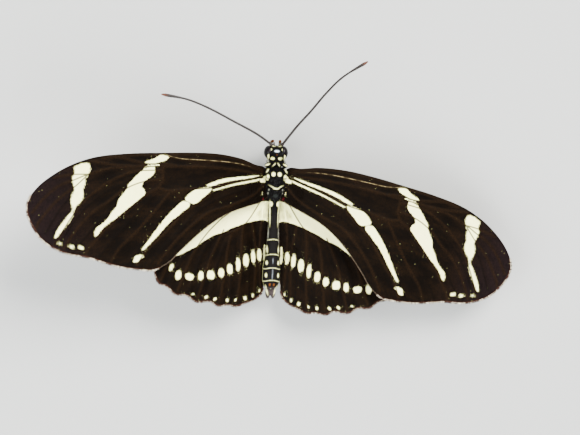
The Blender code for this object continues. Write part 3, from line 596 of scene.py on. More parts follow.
# A painted highlight along one vein: a broken pale line where light glints on it, fading in from the root.
vein_glint_share = paint.ramp(paint.noise(flat_place, 1.1, 2.0), 0.35, 0.60, 0.05, 0.40)
vein_glint_share = paint.math("MULTIPLY", vein_glint_share, paint.ramp(flat_out, 2.0, 6.0))
ground_layers = [
    # Painted sheen: plum towards the wing's tip.
    (paint.ramp(flat_out, 30.0, 44.0, 0.0, 0.75), APEX_SHEEN_PLUM),
    (paint.ramp(flat_out, 1.0, 12.0, 0.7, 0.0), WING_BLACK),
    (paint.ramp(paint.noted("fold"), 0.05, 0.28, 0.6, 0.0), WING_BLACK),
    (paint.ramp(paint.noted("vein"), 0.05, 0.45, 0.60, 0.0), WING_BROWN),
    (paint.math("MULTIPLY", paint.ramp(paint.noted("vein_glint"), 0.02, 0.09, 1.0, 0.0), vein_glint_share), VEIN_GLINT_BROWN),
    (lower_side, UNDERSIDE_BROWN),
    (paint.ramp(paint.noted("rim"), 0.0, 0.30, 0.7, 0.0), FRINGE_RED),
]
for mask, colour in ground_layers:
    ground = paint.mix(mask, ground, colour)
ground = paint.speckled(ground, tint, 0.45, 1.6)
cream = paint.mix(paint.ramp(paint.noise(flat_place, 0.9, 4.0), 0.45, 0.75, 0.0, 0.5), CREAM, CREAM_SHADE)
cream = paint.mix(paint.ramp(tint, 0.80, 1.0, 0.0, 0.30), cream, CREAM_SHADE)
cream = paint.mix(paint.ramp(paint.noted("lined"), 0.05, 0.17, 0.92, 0.0), cream, WING_BROWN)
edge_values = {
    "Depth": paint.noted("pale"), "Place": flat_place, "Tint": tint, "Fleck": scales["Fleck"],
    "Ragged": paint.ramp(flat_out, 8.0, 36.0, 0.15, 0.95),
    "Soft": paint.ramp(flat_out, 30.0, 35.0, 0.03, 0.14),
}
edge = paint.node("Group", edge_values, node_tree=ragged_edge)
dressed = paint.mix(edge.outputs["Mask"], ground, cream)
dot = paint.math("MULTIPLY", paint.ramp(paint.noted("dot"), -0.04, 0.04), lower_side)
paint.feed(shader, {
    "Base Color": paint.mix(dot, dressed, DOT_CRIMSON),
    "Roughness": paint.ramp(tint, 0.0, 1.0, 0.50, 0.75),
    "Specular IOR Level": 0.02,
    "Normal": paint.bump(scales["Height"], 0.35, 0.02),
})


def wing_net(wing):
    """Flat points and triangles over one wing, with an edge along every vein and round the margin."""
    margin = smooth_line(wing["outline"], MARGIN_STEP, closed=True)
    veins = vein_lines(wing["veins"].values())
    lines = [looped(margin)]
    for vein in veins:
        lines += [vein, beside(vein, VEIN_HALF_WIDTH), beside(vein, -VEIN_HALF_WIDTH)]
    points, edges = [], []
    for line in lines:
        first = len(points)
        points += [Vector(point) for point in line]
        edges += [(first + index, first + index + 1) for index in range(len(line) - 1)]
    low, high = margin.min(0), margin.max(0)
    across = np.arange(low[0], high[0], WING_STEP)
    along = np.arange(low[1], high[1], WING_STEP * 0.866)
    grid_u, grid_v = np.meshgrid(across, along)
    grid_u = grid_u + (np.arange(len(along)) % 2)[:, None] * WING_STEP / 2
    grid = np.stack([grid_u.ravel(), grid_v.ravel()], 1)
    grid = grid[inside(grid, margin)]
    grid = grid[distance_to(grid, lines) > WING_STEP * 0.4]
    points += [Vector(point) for point in grid]
    flat, _, triangles, *_ = delaunay_2d_cdt(points, edges, [], 1, 0.01)
    flat, triangles = np.array(flat), np.array(triangles)
    used, triangles = np.unique(triangles, return_inverse=True)
    return flat[used], triangles.reshape(-1, 3), margin, veins


def wing_piece(pair_name, word):
    wing = WINGS[pair_name]
    flat, triangles, margin, veins = wing_net(wing)
    vein = distance_to(flat, veins)
    fold = distance_to(flat, vein_lines(wing["folds"]))
    rim = distance_to(flat, [looped(margin)])
    fringed = distance_to(flat, [smooth_line(wing["outline"][slice(*wing["outer_margin"])], MARGIN_STEP)])
    taper = 1 - 0.65 * np.clip(np.hypot(flat[:, 0], flat[:, 1]) / WING_LENGTH, 0, 1)
    ridge = np.clip(1 - vein / VEIN_HALF_WIDTH, 0, 1) * VEIN_RISE * taper
    half = MEMBRANE / 2 * np.clip(rim / EDGE_WIDTH, 0.5, 1) + ridge
    sag = 1 - hump(vein, PLEAT_WIDTH)
    crest = hump(fold, FOLD_WIDTH)
    lift = (-PLEAT_DEPTH * sag + PLEAT_DEPTH * 0.9 * crest) * np.clip(rim / 1.5, 0.25, 1)
    here, up = wing_surface(flat, wing, word)
    top = here + up * (lift + half)[:, None]
    bottom = here + up * (lift - half)[:, None]
    count = len(flat)
    first, second, third = flat[triangles[:, 0]], flat[triangles[:, 1]], flat[triangles[:, 2]]
    spin = np.cross(second - first, third - first) * SIDES[word]
    triangles = np.where((spin < 0)[:, None], triangles, triangles[:, ::-1])
    edges = [pair for corners in triangles.tolist() for pair in zip(corners, corners[1:] + corners[:1])]
    edges = dict.fromkeys(edges)
    faces = triangles.tolist() + (triangles[:, ::-1] + count).tolist()
    faces += [(b, a, a + count, b + count) for a, b in edges if (b, a) not in edges]
    piece = add_piece(f"{pair_name}_{word}_scaled", np.vstack([top, bottom]), faces, wing_scales)
    piece.data.set_sharp_from_angle(angle=radians(70))
    lined = [run for name, run in wing["veins"].items() if name not in wing["bare_veins"]]
    # The vein that carries a painted highlight of light along it.
    vein_glint = [wing["veins"][wing["glinting_vein"]]] if wing["glinting_vein"] else []
    dots = [radius - np.linalg.norm(flat - centre, axis=1) for centre, radius in ROOT_DOTS[pair_name]]
    notes = {
        "pale": mark_depth(flat, wing), "vein": vein, "lined": distance_to(flat, vein_lines(lined)),
        "vein_glint": distance_to(flat, vein_lines(vein_glint)), "dot": np.max(dots, axis=0), "fold": fold,
        "rim": fringed,
    }
    for name, values in notes.items():
        note(piece, name, np.tile(values, 2))
    note(piece, "underside", np.repeat([0.0, 1.0], count))
    note(piece, "flat", np.tile(np.column_stack([flat, np.zeros(count)]), (2, 1)), "FLOAT_VECTOR")
    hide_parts(f"{pair_name}_{word}")


for pair_name, word in WING_NAMES:
    wing_piece(pair_name, word)

# Wing fringes
# A double row of narrow scales stands out along each wing's outer margin, dark reddish brown with
# whitish patches between the veins, and a shorter, paler row edges the hind margin.
FRINGE_STEP = 0.055
FRINGE_LENGTH = 0.36
HIND_FRINGE_LENGTH = 0.22
FRINGE_HALF_WIDTH = 0.034
FRINGE_DARK = (0.018, 0.010, 0.008)
HIND_FRINGE = (0.070, 0.052, 0.036)
FRINGE_PALE_SHARE = {"forewing": 0.55, "hindwing": 0.25}
FRINGE_ROWS = (("outer_margin", 0), ("outer_margin", 1), ("hind_margin", 0))
TUFT_CORNERS = 10
TUFT_PATCH = 0.003
TUFT_SPANS = (0.0, 0.45, 0.85)
TUFT_RIDGE = 0.45
WING_MAP_WIDTH = 90

coat_scales, paint, shader = new_material("coat_scales")
paint.feed(shader, {
    "Base Color": paint.noted("dress", "Color"), "Roughness": 0.60, "Specular IOR Level": 0.02,
})


def grow(roots, headings, ups, lengths, half_widths, taper=(0.8, 1.0, 0.6), lift=0.2, bend=0.15):
    """Thin pointed tufts or scales as closed solids: their places, faces, and local places for a patch."""
    sides = np.cross(headings, ups)
    lengths, half_widths = lengths[:, None], half_widths[:, None]
    lift = np.broadcast_to(np.asarray(lift, float), len(roots))[:, None]
    corners, local = [], []
    for along, share in zip(TUFT_SPANS, taper):
        middle = roots + headings * lengths * along + ups * lengths * (lift * along - bend * along**2)
        corners += [middle - sides * half_widths * share, middle + sides * half_widths * share]
        corners.append(middle + ups * half_widths * share * TUFT_RIDGE)
        local += [(-share / 2, along - 0.5), (share / 2, along - 0.5), (0.0, along - 0.5)]
    corners.append(roots + headings * lengths + ups * lengths * (lift - bend))
    local.append((0.0, 0.5))
    places = np.stack(corners, 1).reshape(-1, 3)
    shape = [(2, 0, 1)]
    for start in (0, 3):
        for a, b in ((1, 0), (0, 2), (2, 1)):
            shape.append((start + a, start + b, start + 3 + b, start + 3 + a))
    shape += [(7, 6, 9), (6, 8, 9), (8, 7, 9)]
    faces = []
    for first in range(0, len(places), TUFT_CORNERS):
        faces += [tuple(index + first for index in face) for face in shape]
    return places, faces, np.tile(local, (len(roots), 1))


def note_colour(piece, colours):
    """Keeps one colour for each vertex, which the piece's material reads."""
    note(piece, "dress", np.column_stack([colours, np.ones(len(colours))]), "FLOAT_COLOR")


def add_coat(name, slot, roots, headings, ups, lengths, half_widths, colours, uvs, shade=None, **shape):
    """A piece of tufts in their own colours, each with its own small patch of the bake map."""
    places, faces, local = grow(roots, headings, ups, lengths, half_widths, **shape)
    piece = add_piece(name, places, faces, coat_scales)
    dress = np.repeat(colours, TUFT_CORNERS, axis=0)
    if shade is not None:
        dress = np.clip(dress * np.tile(shade, len(roots))[:, None], 0, 1)
    note_colour(piece, dress)
    spots = np.repeat(uvs, TUFT_CORNERS, axis=0) + local * TUFT_PATCH
    loops = np.zeros(len(piece.data.loops), np.int32)
    piece.data.loops.foreach_get("vertex_index", loops)
    layer = piece.data.uv_layers.new(name="OFBake")
    layer.data.foreach_set("uv", spots[loops].astype(np.float32).ravel())


def fringe_piece(pair_name, word, seed):
    wing = WINGS[pair_name]
    chance = np.random.default_rng(seed)
    veins = vein_lines(wing["veins"].values())
    rows = []
    for margin_name, row in FRINGE_ROWS:
        line = smooth_line(wing["outline"][slice(*wing[margin_name])], FRINGE_STEP)
        count = len(line)
        run = unit(np.gradient(line, axis=0))
        away = np.column_stack([-run[:, 1], run[:, 0]])
        outer = margin_name == "outer_margin"
        spread = chance.normal(0, 0.14, count)[:, None]
        spots = line - away * (0.10 - 0.04 * row) + run * chance.uniform(-0.03, 0.03, count)[:, None]
        length = FRINGE_LENGTH * (1 - 0.25 * row) if outer else HIND_FRINGE_LENGTH
        lengths = length * chance.uniform(0.8, 1.2, count)
        between = fade(distance_to(line, veins), 0.55, 0.5) * FRINGE_PALE_SHARE[pair_name]
        pale = chance.random(count) < between
        dark = np.array(FRINGE_DARK) + chance.random(count)[:, None] ** 2 * np.array(FRINGE_RED)
        colour = np.where(pale[:, None], FRINGE_PALE, dark) if outer else np.tile(HIND_FRINGE, (count, 1))
        rows.append((spots, away + run * spread, lengths, colour * chance.uniform(0.7, 1.15, (count, 1))))
    spots, outward, lengths, colours = (np.concatenate(column) for column in zip(*rows))
    here, up = wing_surface(spots, wing, word)
    heading = unit(wing_surface(spots + outward * 0.05, wing, word)[0] - here)
    here = here + up * chance.choice([-0.012, 0.004], len(here))[:, None]
    half_widths = FRINGE_HALF_WIDTH * chance.uniform(0.8, 1.2, len(here))
    lift = chance.normal(0.0, 0.10, len(here))
    add_coat(
        f"{pair_name}_{word}_fringe", "wing", here, heading, up, lengths, half_widths, colours,
        spots / WING_MAP_WIDTH + 0.5, taper=(0.6, 1.0, 0.8), lift=lift, bend=0.05,
    )


for seed, (pair_name, word) in enumerate(WING_NAMES):
    fringe_piece(pair_name, word, seed + 11)

# Wing hair
# Long soft hairs clothe the wings near their roots and along the hindwings' inner parts: cream on the
# cream bands, black brown elsewhere, with a few crimson ones beside the body.
HAIR_HALF_WIDTH = 0.022
HAIR_CHECKS = (0.25, 0.5, 0.75, 1.0)
HAIR_DARK = (0.0045, 0.0028, 0.0018)
HAIR_CREAM = (0.95, 0.93, 0.42)
ROOT_CRIMSON = (0.085, 0.003, 0.007)
# Where hair grows on a wing: two corners of the stretch, how many hairs, how long, and its colour where
# it isn't the wing's own.
HAIR_STRETCHES = {
    "forewing": [
        ((-0.9, -4.2), (3.6, 1.2), 700, 0.75, None), ((0.30, -4.0), (0.52, -3.7), 14, 0.45, ROOT_CRIMSON),
    ],
    "hindwing": [((0.2, -3.6), (3.4, -1.2), 360, 0.90, None), ((3.0, -8.5), (9.5, -3.6), 800, 0.90, None)],
}


def hair_piece(pair_name, word, seed):
    wing = WINGS[pair_name]
    chance = np.random.default_rng(seed)
    outline = smooth_line(wing["outline"], MARGIN_STEP, closed=True)
    sweep = radians(wing["sweep"][word])
    rows = []
    for low, high, count, length, colour in HAIR_STRETCHES[pair_name]:
        drawn = chance.uniform(low, high, (count, 2))
        drawn = drawn[inside(drawn, outline)]
        reach = length * chance.uniform(0.6, 1.2, len(drawn))
        backward = reach[:, None] * (sin(sweep), -cos(sweep))
        cream = mark_depth(drawn, wing) > 0.0
        kept = np.ones(len(drawn), bool)
        for share in HAIR_CHECKS if colour is None else ():
            kept &= (mark_depth(drawn + backward * share, wing) > 0.0) == cream
        drawn, reach, cream = drawn[kept], reach[kept], cream[kept]
        own = np.where(cream[:, None], HAIR_CREAM, HAIR_DARK) if colour is None else np.array([colour])
        rows.append((drawn, reach, own * chance.uniform(0.7, 1.15, (len(drawn), 1))))
    spots, lengths, colours = (np.concatenate(column) for column in zip(*rows))
    here, up = wing_surface(spots, wing, word)
    lie = np.tile((SIDES[word] * 0.25, 1.0, 0.0), (len(here), 1)) + chance.normal(0, 0.22, here.shape)
    lie = unit(lie - up * (lie * up).sum(1)[:, None])
    half_widths = HAIR_HALF_WIDTH * chance.uniform(0.7, 1.2, len(here))
    lift = chance.uniform(0.08, 0.30, len(here))
    here = here + up * MEMBRANE * 0.4
    add_coat(
        f"{pair_name}_{word}_hair", "wing", here, lie, up, lengths, half_widths, colours,
        spots / WING_MAP_WIDTH + 0.5, taper=(1.0, 0.9, 0.5), lift=lift, bend=0.12,
    )


for seed, (pair_name, word) in enumerate(WING_NAMES):
    hair_piece(pair_name, word, seed + 21)

# Body
# Head, collar, thorax and abdomen are one unbroken skin of black chitin, closely scaled, with cream
# spots and bars. It is drawn from the same rounded forms as the solids, drawn in by the depth of the
# coat, melted into one surface and then grooved between the abdomen's rings.
HEAD_FRONT = -7.0
HEAD_BACK = -4.5
THORAX_FRONT = -3.3
ABDOMEN_FRONT = 2.7
WAIST_BACK = 3.4
ABDOMEN_BACK = 18.3
TAIL_TIP = 20.1
THORAX_HALF_WIDTH = 2.25
ABDOMEN_HALF_WIDTH = 1.7
HEAD_MIDDLE = (HEAD_FRONT + HEAD_BACK) / 2
HEAD_HEIGHT = ROOT_HEIGHT - 0.15
COLLAR_MIDDLE = (HEAD_BACK + THORAX_FRONT) / 2
COAT_DEPTH = 0.12
SKIN_GRAIN = 0.10
SEGMENT_ENDS = [ABDOMEN_FRONT, 5.2, 7.0, 9.8, 12.4, 14.8, 17.0, ABDOMEN_BACK]
SEGMENT_WIDTHS = [0.55, 0.52, 0.58, 0.64, 0.80, 0.97, 0.95, 0.66]
ABDOMEN_DEPTH = 1.12
ABDOMEN_DROOP = 0.9


def sunk(y):
    """How far the body's axis has sunk below the wing roots at y."""
    along = np.clip((np.asarray(y, float) - ABDOMEN_FRONT) / (TAIL_TIP - ABDOMEN_FRONT), 0, None)
    return 0.35 + ABDOMEN_DROOP * along**1.6


def add_ball(shape, centre, half_sizes):
    """A rounded form of the body, less the depth of its coat."""
    stretch = Matrix.Diagonal((*(size - COAT_DEPTH for size in half_sizes), 1.0))
    placing = Matrix.Translation(centre) @ stretch
    bmesh.ops.create_uvsphere(shape, u_segments=36, v_segments=24, radius=1.0, matrix=placing)


def add_loft(shape, sections, around=40):
    """A closed form through sections across the body: (y, half width, half height, height of its axis)."""
    rings = []
    for y, half_width, half_height, height in sections:
        ring = []
        for index in range(around):
            angle = 2 * pi * index / around
            ring.append(shape.verts.new((half_width * cos(angle), y, height + half_height * sin(angle))))
        rings.append(ring)
    for ring, following in zip(rings, rings[1:]):
        for index in range(around):
            beyond = (index + 1) % around
            shape.faces.new((ring[index], ring[beyond], following[beyond], following[index]))
    shape.faces.new(rings[0])
    shape.faces.new(rings[-1][::-1])


# The thorax: sections along it with their half width, as a share of the widest, and their top and bottom.
THORAX_SECTIONS = [
    (THORAX_FRONT, 0.45, 0.5, -1.6), (THORAX_FRONT + 0.3, 0.72, 1.1, -2.5),
    (THORAX_FRONT + 1.0, 0.90, 1.7, -3.2), (THORAX_FRONT + 2.0, 0.99, 2.05, -3.7),
    (THORAX_FRONT + 3.2, 1.0, 2.15, -3.85), (THORAX_FRONT + 4.3, 0.94, 1.9, -3.75),
    (THORAX_FRONT + 5.2, 0.80, 1.45, -3.2), (THORAX_BACK - 0.4, 0.60, 1.05, -2.3),
    (THORAX_BACK, 0.40, 0.7, -1.5),
]
# Rounded forms on the middle line, and others on both sides of it: centre and half sizes.
MIDDLE_BALLS = [
    ((0, THORAX_BACK - 2.0, ROOT_HEIGHT + 1.25), (1.25, 0.8, 0.7)),  # shield at the thorax's back
    ((0, HEAD_MIDDLE, HEAD_HEIGHT), (1.18, 1.25, 1.45)),  # head
    ((0, HEAD_MIDDLE - 0.35, HEAD_HEIGHT - 0.75), (0.85, 0.95, 0.85)),  # lower face
    ((0, HEAD_FRONT + 0.55, HEAD_HEIGHT + 0.75), (0.95, 0.5, 0.55)),  # brow
    ((0, HEAD_BACK, ROOT_HEIGHT - 0.25), (0.95, 0.7, 1.15)),  # neck
    ((0, COLLAR_MIDDLE, ROOT_HEIGHT - 0.3), (1.45, 0.95, 1.75)),  # collar
    ((0, ABDOMEN_FRONT, ROOT_HEIGHT - 0.4), (1.0, 0.9, 1.05)),  # waist
]
SIDE_BALLS = [
    ((1.4, -2.0, ROOT_HEIGHT + 1.65), (0.75, 0.95, 0.4)),  # cover of the forewing's root
    ((0.80, HEAD_FRONT + 0.3, HEAD_HEIGHT + 0.75), (0.42, 0.42, 0.42)),  # socket of the feeler
    ((0.62, HEAD_MIDDLE - 0.15, HEAD_HEIGHT + 0.50), (0.62, 1.15, 0.98)),  # lobe of the crown
    ((1.20, HEAD_BACK - 0.60, HEAD_HEIGHT + 0.12), (0.64, 0.76, 1.22)),  # ridge behind the eye
    ((1.50, THORAX_FRONT - 0.15, ROOT_HEIGHT + 0.75), (0.62, 0.50, 0.60)),  # shoulder
    ((1.45, THORAX_FRONT - 0.80, ROOT_HEIGHT + 0.30), (0.36, 0.40, 0.55)),  # side of the collar
    ((0.85, COLLAR_MIDDLE, ROOT_HEIGHT + 0.85), (0.85, 0.66, 0.62)),  # plate of the collar
    ((0.44, ABDOMEN_BACK + 0.65, ROOT_HEIGHT - float(sunk(TAIL_TIP))), (0.58, 1.15, 0.8)),  # clasper
]
body_shape = bmesh.new()
thorax_sections = []
for y, width, top, bottom in THORAX_SECTIONS:
    half_width = width * THORAX_HALF_WIDTH - COAT_DEPTH
    thorax_sections.append((y, half_width, (top - bottom) / 2 - COAT_DEPTH, ROOT_HEIGHT + (top + bottom) / 2))
add_loft(body_shape, thorax_sections)
for centre, half_sizes in MIDDLE_BALLS:
    add_ball(body_shape, centre, half_sizes)
for side in SIDES.values():
    for centre, half_sizes in SIDE_BALLS:
        add_ball(body_shape, (side * centre[0], *centre[1:]), half_sizes)
abdomen_sections = []
for y in np.arange(ABDOMEN_FRONT, ABDOMEN_BACK, 0.1):
    radius = np.interp(y, SEGMENT_ENDS, SEGMENT_WIDTHS) * ABDOMEN_HALF_WIDTH - COAT_DEPTH * 0.6
    radius *= min(1.0, 0.75 + (ABDOMEN_BACK - y) * 0.6)
    abdomen_sections.append((y, radius, radius * ABDOMEN_DEPTH, ROOT_HEIGHT - float(sunk(y))))
add_loft(body_shape, abdomen_sections)
bmesh.ops.recalc_face_normals(body_shape, faces=body_shape.faces)
body_mesh = bpy.data.meshes.new("body_forms")
body_shape.to_mesh(body_mesh)
body_shape.free()
body_forms = bpy.data.objects.new("body_forms", body_mesh)
bpy.context.scene.collection.objects.link(body_forms)
melt = body_forms.modifiers.new("melt", "REMESH")
melt.mode = "VOXEL"
melt.voxel_size = SKIN_GRAIN
ease = body_forms.modifiers.new("ease", "SMOOTH")
ease.factor = 0.5
ease.iterations = 6
bpy.context.view_layer.update()
melted = bpy.data.meshes.new_from_object(body_forms.evaluated_get(bpy.context.evaluated_depsgraph_get()))
bpy.data.objects.remove(body_forms, do_unlink=True)
skin_places = np.zeros(len(melted.vertices) * 3)
melted.vertices.foreach_get("co", skin_places)
skin_places = skin_places.reshape(-1, 3)
skin_faces = [tuple(face.vertices) for face in melted.polygons]
skin_corners = np.array([(*face[:3], face[-1]) for face in skin_faces])


def face_spans(places):
    """A line square to each face of the skin, twice as long as the face's area."""
    first = places[skin_corners[:, 2]] - places[skin_corners[:, 0]]
    other = places[skin_corners[:, 3]] - places[skin_corners[:, 1]]
    return np.cross(first, other)


def outward_at(places):
    """The outward direction at each vertex of the skin."""
    out = np.zeros_like(places)
    for column in range(4):
        np.add.at(out, skin_corners[:, column], face_spans(places))
    return out / np.maximum(np.linalg.norm(out, axis=1), 1e-12)[:, None]


# Each ring of the abdomen stands a little over the front of the next, with a groove between them. A pleat
# runs along each flank, a fine line along the thorax's middle, and a curved one before its shield.
RING_STEP = 0.075
RING_GROOVE = 0.06
FLANK_PLEAT = 0.07
MIDDLE_GROOVE = 0.05
SHIELD_GROOVE = 0.07
x, y, z = skin_places.T
ring_step = np.zeros(len(skin_places))
for start, end in zip(SEGMENT_ENDS, SEGMENT_ENDS[1:]):
    along = (y - start) / (end - start)
    held = (along > 0) & (along <= 1)
    ring_step += np.where(held, RING_STEP * (along - 0.45), 0)
    ring_step -= RING_GROOVE * hump(y - end, 0.11)
ring_step *= fade(y, WAIST_BACK, 1.0) * fade(y, ABDOMEN_BACK + 0.4, -0.5)
pleat = hump(z - ROOT_HEIGHT + sunk(y) + 0.25, 0.12) * fade(y, 4.5, 1.5) * fade(y, ABDOMEN_BACK, -1.0)
scutal = hump(x, 0.09) * (y > THORAX_FRONT + 0.6) * (y < 0.4) * (z > ROOT_HEIGHT + 1.2)
shield_edge = 0.35 * (1 - np.minimum(1, (x / 1.2) ** 2))
shield = hump(y - 0.35 - shield_edge, 0.09) * (z > ROOT_HEIGHT + 1.0)
raised = ring_step - FLANK_PLEAT * pleat - MIDDLE_GROOVE * scutal - SHIELD_GROOVE * shield
skin_places += outward_at(skin_places) * raised[:, None]
skin_out = outward_at(skin_places)

BODY_BLACK = (0.0014, 0.0012, 0.0012)
BELLY_CREAM = (0.42, 0.36, 0.22)
# A grey green patch on the metanotum, a painted sheen of light on its glossy chitin.
SHEEN_GREY = (0.0095, 0.0110, 0.0100)
ABDOMEN_BROWN = (0.0046, 0.0040, 0.0038)
TAIL_GREY = (0.040, 0.031, 0.030)
ROOT_GREY = (0.22, 0.22, 0.17)
TAIL_ORANGE = (0.085, 0.026, 0.006)
BLUE_WHITE = (0.55, 0.62, 0.66)
DASH_GREY = (0.24, 0.26, 0.30)
# Marks on the back, on both sides of the middle line: centre, half sizes, turn and colour.
BACK_MARKS = [
    ((0.60, -6.84), (0.25, 0.06), -8, CREAM), ((1.02, -6.24), (0.12, 0.16), 0, CREAM),
    ((0.00, -5.95), (0.42, 0.18), 0, BLUE_WHITE), ((0.00, -5.32), (0.10, 0.10), 0, TAIL_ORANGE),
    ((1.48, -5.12), (0.11, 0.54), 8, CREAM), ((0.68, -4.66), (0.34, 0.26), 0, CREAM),
    ((1.50, -4.15), (0.15, 0.22), 0, ROOT_GREY), ((1.62, -3.52), (0.38, 0.11), 22, CREAM),
    ((0.45, -3.52), (0.30, 0.08), 52, CREAM), ((1.62, -2.48), (0.28, 0.07), 58, CREAM),
    ((2.02, -2.40), (0.10, 0.16), 0, ROOT_GREY), ((0.55, -1.87), (0.33, 0.36), -8, CREAM),
    ((1.54, -1.28), (0.24, 0.46), 0, CREAM), ((1.22, 0.85), (0.10, 0.14), 0, ROOT_GREY),
    ((1.30, 1.50), (0.10, 0.16), 0, ROOT_GREY), ((0.00, 0.66), (0.40, 0.11), 0, CREAM),
    ((0.56, 0.45), (0.52, 0.065), -28, CREAM), ((0.00, 1.95), (0.50, 0.30), 0, SHEEN_GREY),
    ((0.73, 3.35), (0.36, 0.46), 10, CREAM), ((0.78, 5.00), (0.10, 1.60), 2, CREAM),
    ((0.92, 8.40), (0.08, 0.90), 0, ROOT_GREY), ((1.02, 11.35), (0.10, 0.50), 4, CREAM),
    ((1.04, 13.75), (0.15, 0.30), 0, CREAM), ((1.08, 15.95), (0.15, 0.32), 0, CREAM),
    ((0.00, 13.40), (0.03, 0.20), 0, DASH_GREY), ((0.00, 15.80), (0.035, 0.45), 0, DASH_GREY),
    ((0.36, 17.60), (0.16, 0.26), 0, TAIL_ORANGE), ((0.78, 18.60), (0.11, 0.70), 18, CREAM),
]
# Bars on the flanks: place along the body and height over the wing roots, half sizes and turn.
FLANK_MARKS = [
    ((-4.9, -0.55), (0.22, 0.70), 0, CREAM), ((-3.75, -0.75), (0.30, 0.45), 0, CREAM),
    ((-2.2, -1.55), (0.22, 0.75), 25, CREAM), ((-0.7, -1.75), (0.22, 0.85), 25, CREAM),
    ((0.8, -1.80), (0.22, 0.75), 25, CREAM), ((1.9, -1.20), (0.18, 0.45), 25, CREAM),
    ((5.6, -0.95), (1.90, 0.12), 0, CREAM), ((14.8, 0.08), (2.50, 0.07), 0, CREAM),
]
# Fine cream lines across the back, at the ends of four of the abdomen's rings.
RING_ARCS = [9.80, 12.42, 14.82, 17.02]
RING_ARC_HALF = 0.03


def egg_mask(along, aside, half_sizes, turn, soft=0.07):
    """How far each place lies within a turned oval: 1 inside, 0 outside, soft at its edge."""
    turn = radians(turn)
    long_way = along * cos(turn) + aside * sin(turn)
    wide_way = aside * cos(turn) - along * sin(turn)
    reach = np.hypot(long_way / half_sizes[0], wide_way / half_sizes[1])
    return np.clip(0.5 + (1 - reach) * min(half_sizes) / (2 * soft), 0, 1)


def body_colours(places, out):
    """The colour of the skin and of the coat that grows from it, at each place."""
    x, y, z = places.T
    over = z - ROOT_HEIGHT + sunk(y)
    colours = np.tile(BODY_BLACK, (len(places), 1)).astype(float)
    belly = fade(-out[:, 2], 0.55, 0.25) * fade(y, 3.6, 0.8) * 0.8
    masks = [
        (fade(y, WAIST_BACK, 2.0), ABDOMEN_BROWN), (fade(y, 17.9, 0.6), TAIL_GREY), (belly, BELLY_CREAM),
    ]
    for ring in RING_ARCS:
        bow = ring - 0.20 * (1 - np.minimum(1, (x / 1.1) ** 2))
        arc = np.clip(0.5 + (RING_ARC_HALF - np.abs(y - bow)) / 0.10, 0, 1)
        masks.append((arc * fade(over, -0.5, 0.2), CREAM))
    back = fade(out[:, 2], -0.05, 0.15)
    for centre, half_sizes, turn, colour in BACK_MARKS:
        off = np.abs(x) - centre[0] if centre[0] else x
        masks.append((egg_mask(off, y - centre[1], half_sizes, turn) * back, colour))
    flank = fade(np.abs(out[:, 0]), 0.35, 0.15)
    for centre, half_sizes, turn, colour in FLANK_MARKS:
        height = z - ROOT_HEIGHT - centre[1] + np.where(y > 3, sunk(y), 0)
        masks.append((egg_mask(y - centre[0], height, half_sizes, turn) * flank, colour))
    for mask, colour in masks:
        colours += (np.array(colour) - colours) * mask[:, None]
    return colours


body_scales, paint, shader = new_material("body_scales")
body_place = paint.stretch(paint.noted("flat", "Vector"), (1.0, 0.55, 1.0))
scale_values = {"Place": body_place, "Long": 14.0, "Wide": 14.0}
scales = paint.node("Group", scale_values, node_tree=scale_rows).outputs
paint.feed(shader, {
    "Base Color": paint.speckled(paint.noted("dress", "Color"), scales["Tint"], 0.65, 1.35),
    "Roughness": paint.ramp(scales["Tint"], 0.0, 1.0, 0.38, 0.6),
    "Specular IOR Level": 0.02,
    "Normal": paint.bump(scales["Height"], 0.5, 0.03),
})

body_skin = add_piece("body_skin", skin_places, skin_faces, body_scales)
note(body_skin, "flat", skin_places, "FLOAT_VECTOR")
note_colour(body_skin, body_colours(skin_places, skin_out))
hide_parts("head", "prothorax", "thorax", "abdomen", "clasper_left", "clasper_right")

# Body coat
# Short bristles stand on the head, collar and chest, longer hair clothes the thorax's sides and belly,
# and flat, overlapping scales lie along the abdomen. Each tuft takes the colour of the skin under it.
COAT_STRETCHES = {
    "head": {
        "from": -8.0, "to": THORAX_FRONT, "count": 6500, "back": 0.19, "belly": 0.34, "width": 0.026,
        "lift": 0.42, "taper": (0.8, 1.0, 0.6), "hairy": True,
    },
    "thorax": {
        "from": THORAX_FRONT, "to": 3.3, "count": 10500, "back": 0.24, "belly": 0.50, "width": 0.026,
        "lift": 0.30, "taper": (0.8, 1.0, 0.6), "hairy": True,
    },
    "abdomen": {
        "from": 3.3, "to": 21.0, "count": 11000, "back": 0.19, "belly": 0.24, "width": 0.036,
        "lift": 0.10, "taper": (0.6, 1.0, 0.8), "hairy": False,
    },
}
# How light each corner of a tuft is, from its root to its tip.
COAT_SHADES = (0.85, 0.85, 0.85, 1.0, 1.0, 1.0, 1.1, 1.1, 1.1, 1.25)
# A few dark hairs on the head and thorax are painted blue grey, a painted sheen of light on the hair.
HAIR_SHEEN_GREY = np.array((0.050, 0.052, 0.054))
HAIR_BROWN = np.array((0.0030, 0.0020, 0.0014))


def unwrap(places):
    """Each place on the body's skin, rolled out flat round its long axis and along it."""
    turn = np.arctan2(places[:, 0], places[:, 2] - ROOT_HEIGHT + sunk(places[:, 1]))
    return np.column_stack([turn / (2 * pi) + 0.5, (places[:, 1] + 8.5) / 30])


skin_middles = skin_places[skin_corners].mean(1)
skin_areas = np.linalg.norm(face_spans(skin_places), axis=1)


